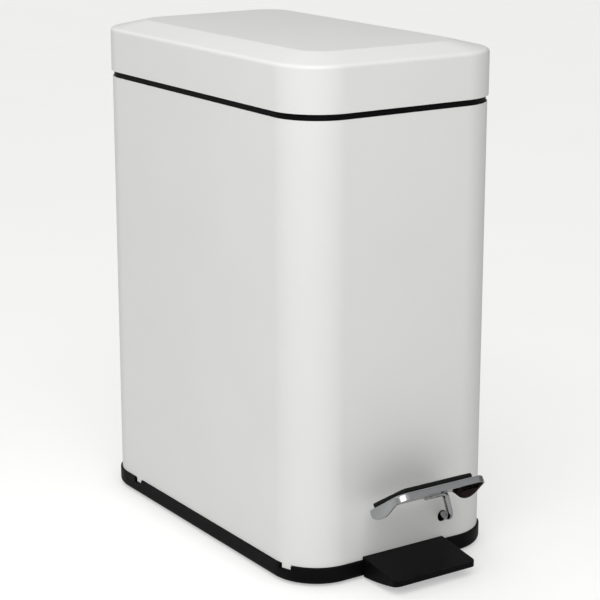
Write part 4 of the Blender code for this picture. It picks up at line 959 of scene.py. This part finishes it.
def make_bucket():
    wall = bucket_high.x - BUCKET_RIM
    y0, y1 = bucket_low.y + BUCKET_RIM, bucket_high.y - BUCKET_RIM
    top = bucket_high.z - BUCKET_WALL
    bottom = bucket_low.z
    centre = (-BUCKET_TAPER - BUCKET_ROUND, bottom + BUCKET_ROUND)
    profile = [(-grow, z) for grow, z in arc(centre, BUCKET_ROUND, -QUARTER, 0, 10)]
    turn = soft_corner(profile[-1], (0, top), (-BUCKET_RIM, top), RIM_ROUND, 4)
    profile += [tuple(p) for p in turn] + [(-BUCKET_RIM, top)]
    rings = []
    for inset, z in profile:
        side = wall - inset
        rings.append(level(rounded_rectangle(-side, side, y0 + inset, y1 - inset, BUCKET_CORNER - inset), z))
    bucket = loft("waste_bucket", rings, cap_first=True)
    sheet = bucket.modifiers.new("wall", "SOLIDIFY")
    sheet.thickness = BUCKET_WALL
    sheet.offset = -1
    sheet.use_even_offset = True
    settled(bucket)
    pivot = middle_of("handle_grip")
    handle_y = joint_places["handle_swing"].y
    hole = circle((handle_y, pivot.z), HANDLE_RADIUS + GAP)
    boolean(bucket, prism("hole", hole, -HALF, HALF, TURN_TO_X))
    ledge_top = pivot.z - HANDLE_RADIUS - GAP
    for sign in SIGNS:
        x = (sign * LEDGE_X - LEDGE_WIDTH / 2, sign * LEDGE_X + LEDGE_WIDTH / 2)
        y = (y0 + LEDGE_ROOT, pivot.y + HANDLE_RADIUS)
        boolean(bucket, box("ledge", x, y, (ledge_top - LEDGE_HEIGHT, ledge_top)), "UNION")
    dressed(eased(merged(bucket), BUCKET_EDGE), "bucket", "black_bucket", "inner_bucket")


def make_handle(rings):
    low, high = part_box("bucket_handle")
    y, z = joint_places["handle_swing"].y, middle_of("handle_grip").z
    arm = bucket_high.x - BUCKET_RIM - HANDLE_INSET
    front = low.y + HANDLE_RADIUS
    path = bent_path([
        (low.x, y, z), (-arm, y, z), (-arm, front, z), (arm, front, z), (arm, y, z), (high.x, y, z),
    ], (HANDLE_BEND, HANDLE_CORNER, HANDLE_CORNER, HANDLE_BEND))
    bail = wire("wire_handle", path, HANDLE_RADIUS)
    dressed(eased(bail, HANDLE_END_EDGE), "handle", "zinc_steel", "bucket_handle")
    radius = (grip_high.z - grip_low.z) / 2
    half, soft, bore = grip_high.x, GRIP_CHAMFER, HANDLE_RADIUS + GAP
    profile = [(radius - soft, -half), (radius, -half + soft), (radius, half - soft), (radius - soft, half),
               (bore, half), (bore, -half)]
    shape = loft("grip_sleeve", [level(circle((0, 0), r), h) for r, h in profile], ring_closed=True)
    centre = Matrix.Translation((0, front, z))
    shape.data.transform(centre @ TURN_TO_X)
    dressed(eased(merged(shape), GRIP_EDGE, segments=3), "handle", "black_plastic", "handle_grip")
    first = Matrix.Translation((-GRIP_RING_SPACING * (GRIP_RING_COUNT - 1) / 2, 0, 0))
    tyres = grown("grip_rings", rings, centre @ first, "black_plastic", count=GRIP_RING_COUNT,
                  spacing=GRIP_RING_SPACING, ring_radius=radius - GRIP_RING_SUNK, bead_radius=GRIP_BEAD)
    dressed(tyres, "handle", "black_plastic")


# ---------------------------------------------------------------- small parts and mechanism

# Body, finish, rounding of the edges, and the nodes that get them
SMALL_PARTS = (
    ("can_body", "black_plastic", 0.2 * MM, ("top_collar",)),
    ("can_body", "zinc_steel", 0.2 * MM, (
        "hinge_pin", "hinge_clip_left", "hinge_clip_right", "pivot_bracket", "pivot_axle", "pivot_clip",
        "bracket_screw_left", "bracket_screw_right", "guide_rivet_lower", "guide_rivet_upper")),
    ("can_body", "rubber", 0.4 * MM, (
        "lid_bumper_left", "lid_bumper_right", "rubber_pad_front_left", "rubber_pad_front_right",
        "rubber_pad_rear_left", "rubber_pad_rear_right")),
    ("can_body", "natural_nylon", 0.4 * MM, ("rod_guide_lower", "rod_guide_upper")),
    ("lid", "black_plastic", 0.2 * MM, ("lid_liner",)),
    ("pedal", "zinc_steel", 0.25 * MM, ("lever_bar",)),
    ("lift", "zinc_steel", 0.2 * MM, ("lift_rod", "lift_rod_clip")),
    ("lift", "natural_nylon", 0.3 * MM, ("lift_rod_foot",)),
)
FLAT = math.radians(0.5)    # faces that meet at less than this are one face


def make_small_parts():
    """Each part's own solid with its edges eased and its round faces smooth."""
    for body, slot, edge, nodes in SMALL_PARTS:
        for node in nodes:
            part = object_from(node + "_finished", frame["nodes"][node].data.copy())
            merged(part, flat_angle=FLAT)
            dressed(eased(part, edge), body, slot, node)


# ---------------------------------------------------------------- studio

def make_floor():
    floor = loft("studio_floor", [level(circle((0, CENTRE_Y), FLOOR_RADIUS, 64), 0)], cap_first=True)
    floor.data.flip_normals()
    floor.data.materials.append(studio_floor_paint())


def make_world():
    """A studio: white to the eye, and lit most from half way up, less from the horizon and the right."""
    world = bpy.data.worlds.new("studio")
    bpy.context.scene.world = world
    world.use_nodes = True
    tree = world.node_tree
    tree.nodes.clear()
    heading = add(tree, "ShaderNodeTexCoord").outputs["Generated"]
    axes = add(tree, "ShaderNodeSeparateXYZ", {"Vector": heading})
    height = add(tree, "ShaderNodeValToRGB", {"Fac": axes.outputs["Z"]})
    ramp = height.color_ramp
    while len(ramp.elements) < len(SKY_LEVELS):
        ramp.elements.new(0.5)
    for element, (place, brightness) in zip(ramp.elements, SKY_LEVELS):
        element.position = place
        element.color = (brightness, brightness, brightness, 1.0)
    side = add(tree, "ShaderNodeMapRange", {
        "Value": axes.outputs["X"], "From Min": -0.1, "From Max": 0.95, "To Min": 1.0, "To Max": 0.35,
    }, interpolation_type="SMOOTHSTEP")
    light = add(tree, "ShaderNodeBackground", {
        "Color": height.outputs["Color"], "Strength": side.outputs["Result"],
    })
    backdrop = add(tree, "ShaderNodeBackground", {"Color": colour("#FFFFFF")})
    path = add(tree, "ShaderNodeLightPath")
    mixed = add(tree, "ShaderNodeMixShader", {
        "Fac": path.outputs["Is Camera Ray"],
        1: light.outputs["Background"],
        2: backdrop.outputs["Background"],
    })
    add(tree, "ShaderNodeOutputWorld", {"Surface": mixed.outputs["Shader"]})


def make_lamp(name, azimuth, elevation, distance, size, watts):
    """A square soft box that looks at the middle of the can; azimuth 0 is straight in front."""
    lamp = bpy.data.lights.new(name, "AREA")
    lamp.shape = "SQUARE"
    lamp.size = size
    lamp.energy = watts
    obj = bpy.data.objects.new(name, lamp)
    bpy.context.scene.collection.objects.link(obj)
    a, e = math.radians(azimuth), math.radians(elevation)
    away = Vector((math.sin(a) * math.cos(e), -math.cos(a) * math.cos(e), math.sin(e)))
    obj.location = Vector((0, CENTRE_Y, BODY_TOP / 2)) + away * distance
    obj.rotation_euler = away.to_track_quat("Z", "Y").to_euler()


def make_camera():
    camera = bpy.data.cameras.new("camera")
    camera.lens = 114.0
    camera.sensor_width = 36.0
    camera.clip_start = 0.05
    obj = bpy.data.objects.new("camera", camera)
    bpy.context.scene.collection.objects.link(obj)
    obj.location = EYE
    obj.rotation_euler = (QUARTER - EYE_DOWN, 0, EYE_TURN)
    bpy.context.scene.camera = obj


make_camera()
make_body()
make_rear_seam()
make_base()
make_foot()
make_lid()
bars = bar_row_tree()
make_liner_ribs(bars)
make_plate()
make_pad(bars)
make_rod()
make_welds()
make_bucket()
make_handle(ring_row_tree())
make_small_parts()
make_floor()
make_world()
make_lamp("key_softbox", azimuth=-40, elevation=42, distance=0.95, size=0.9, watts=4.2)
bpy.context.scene.view_settings.view_transform = "Standard"
bpy.context.view_layer.update()
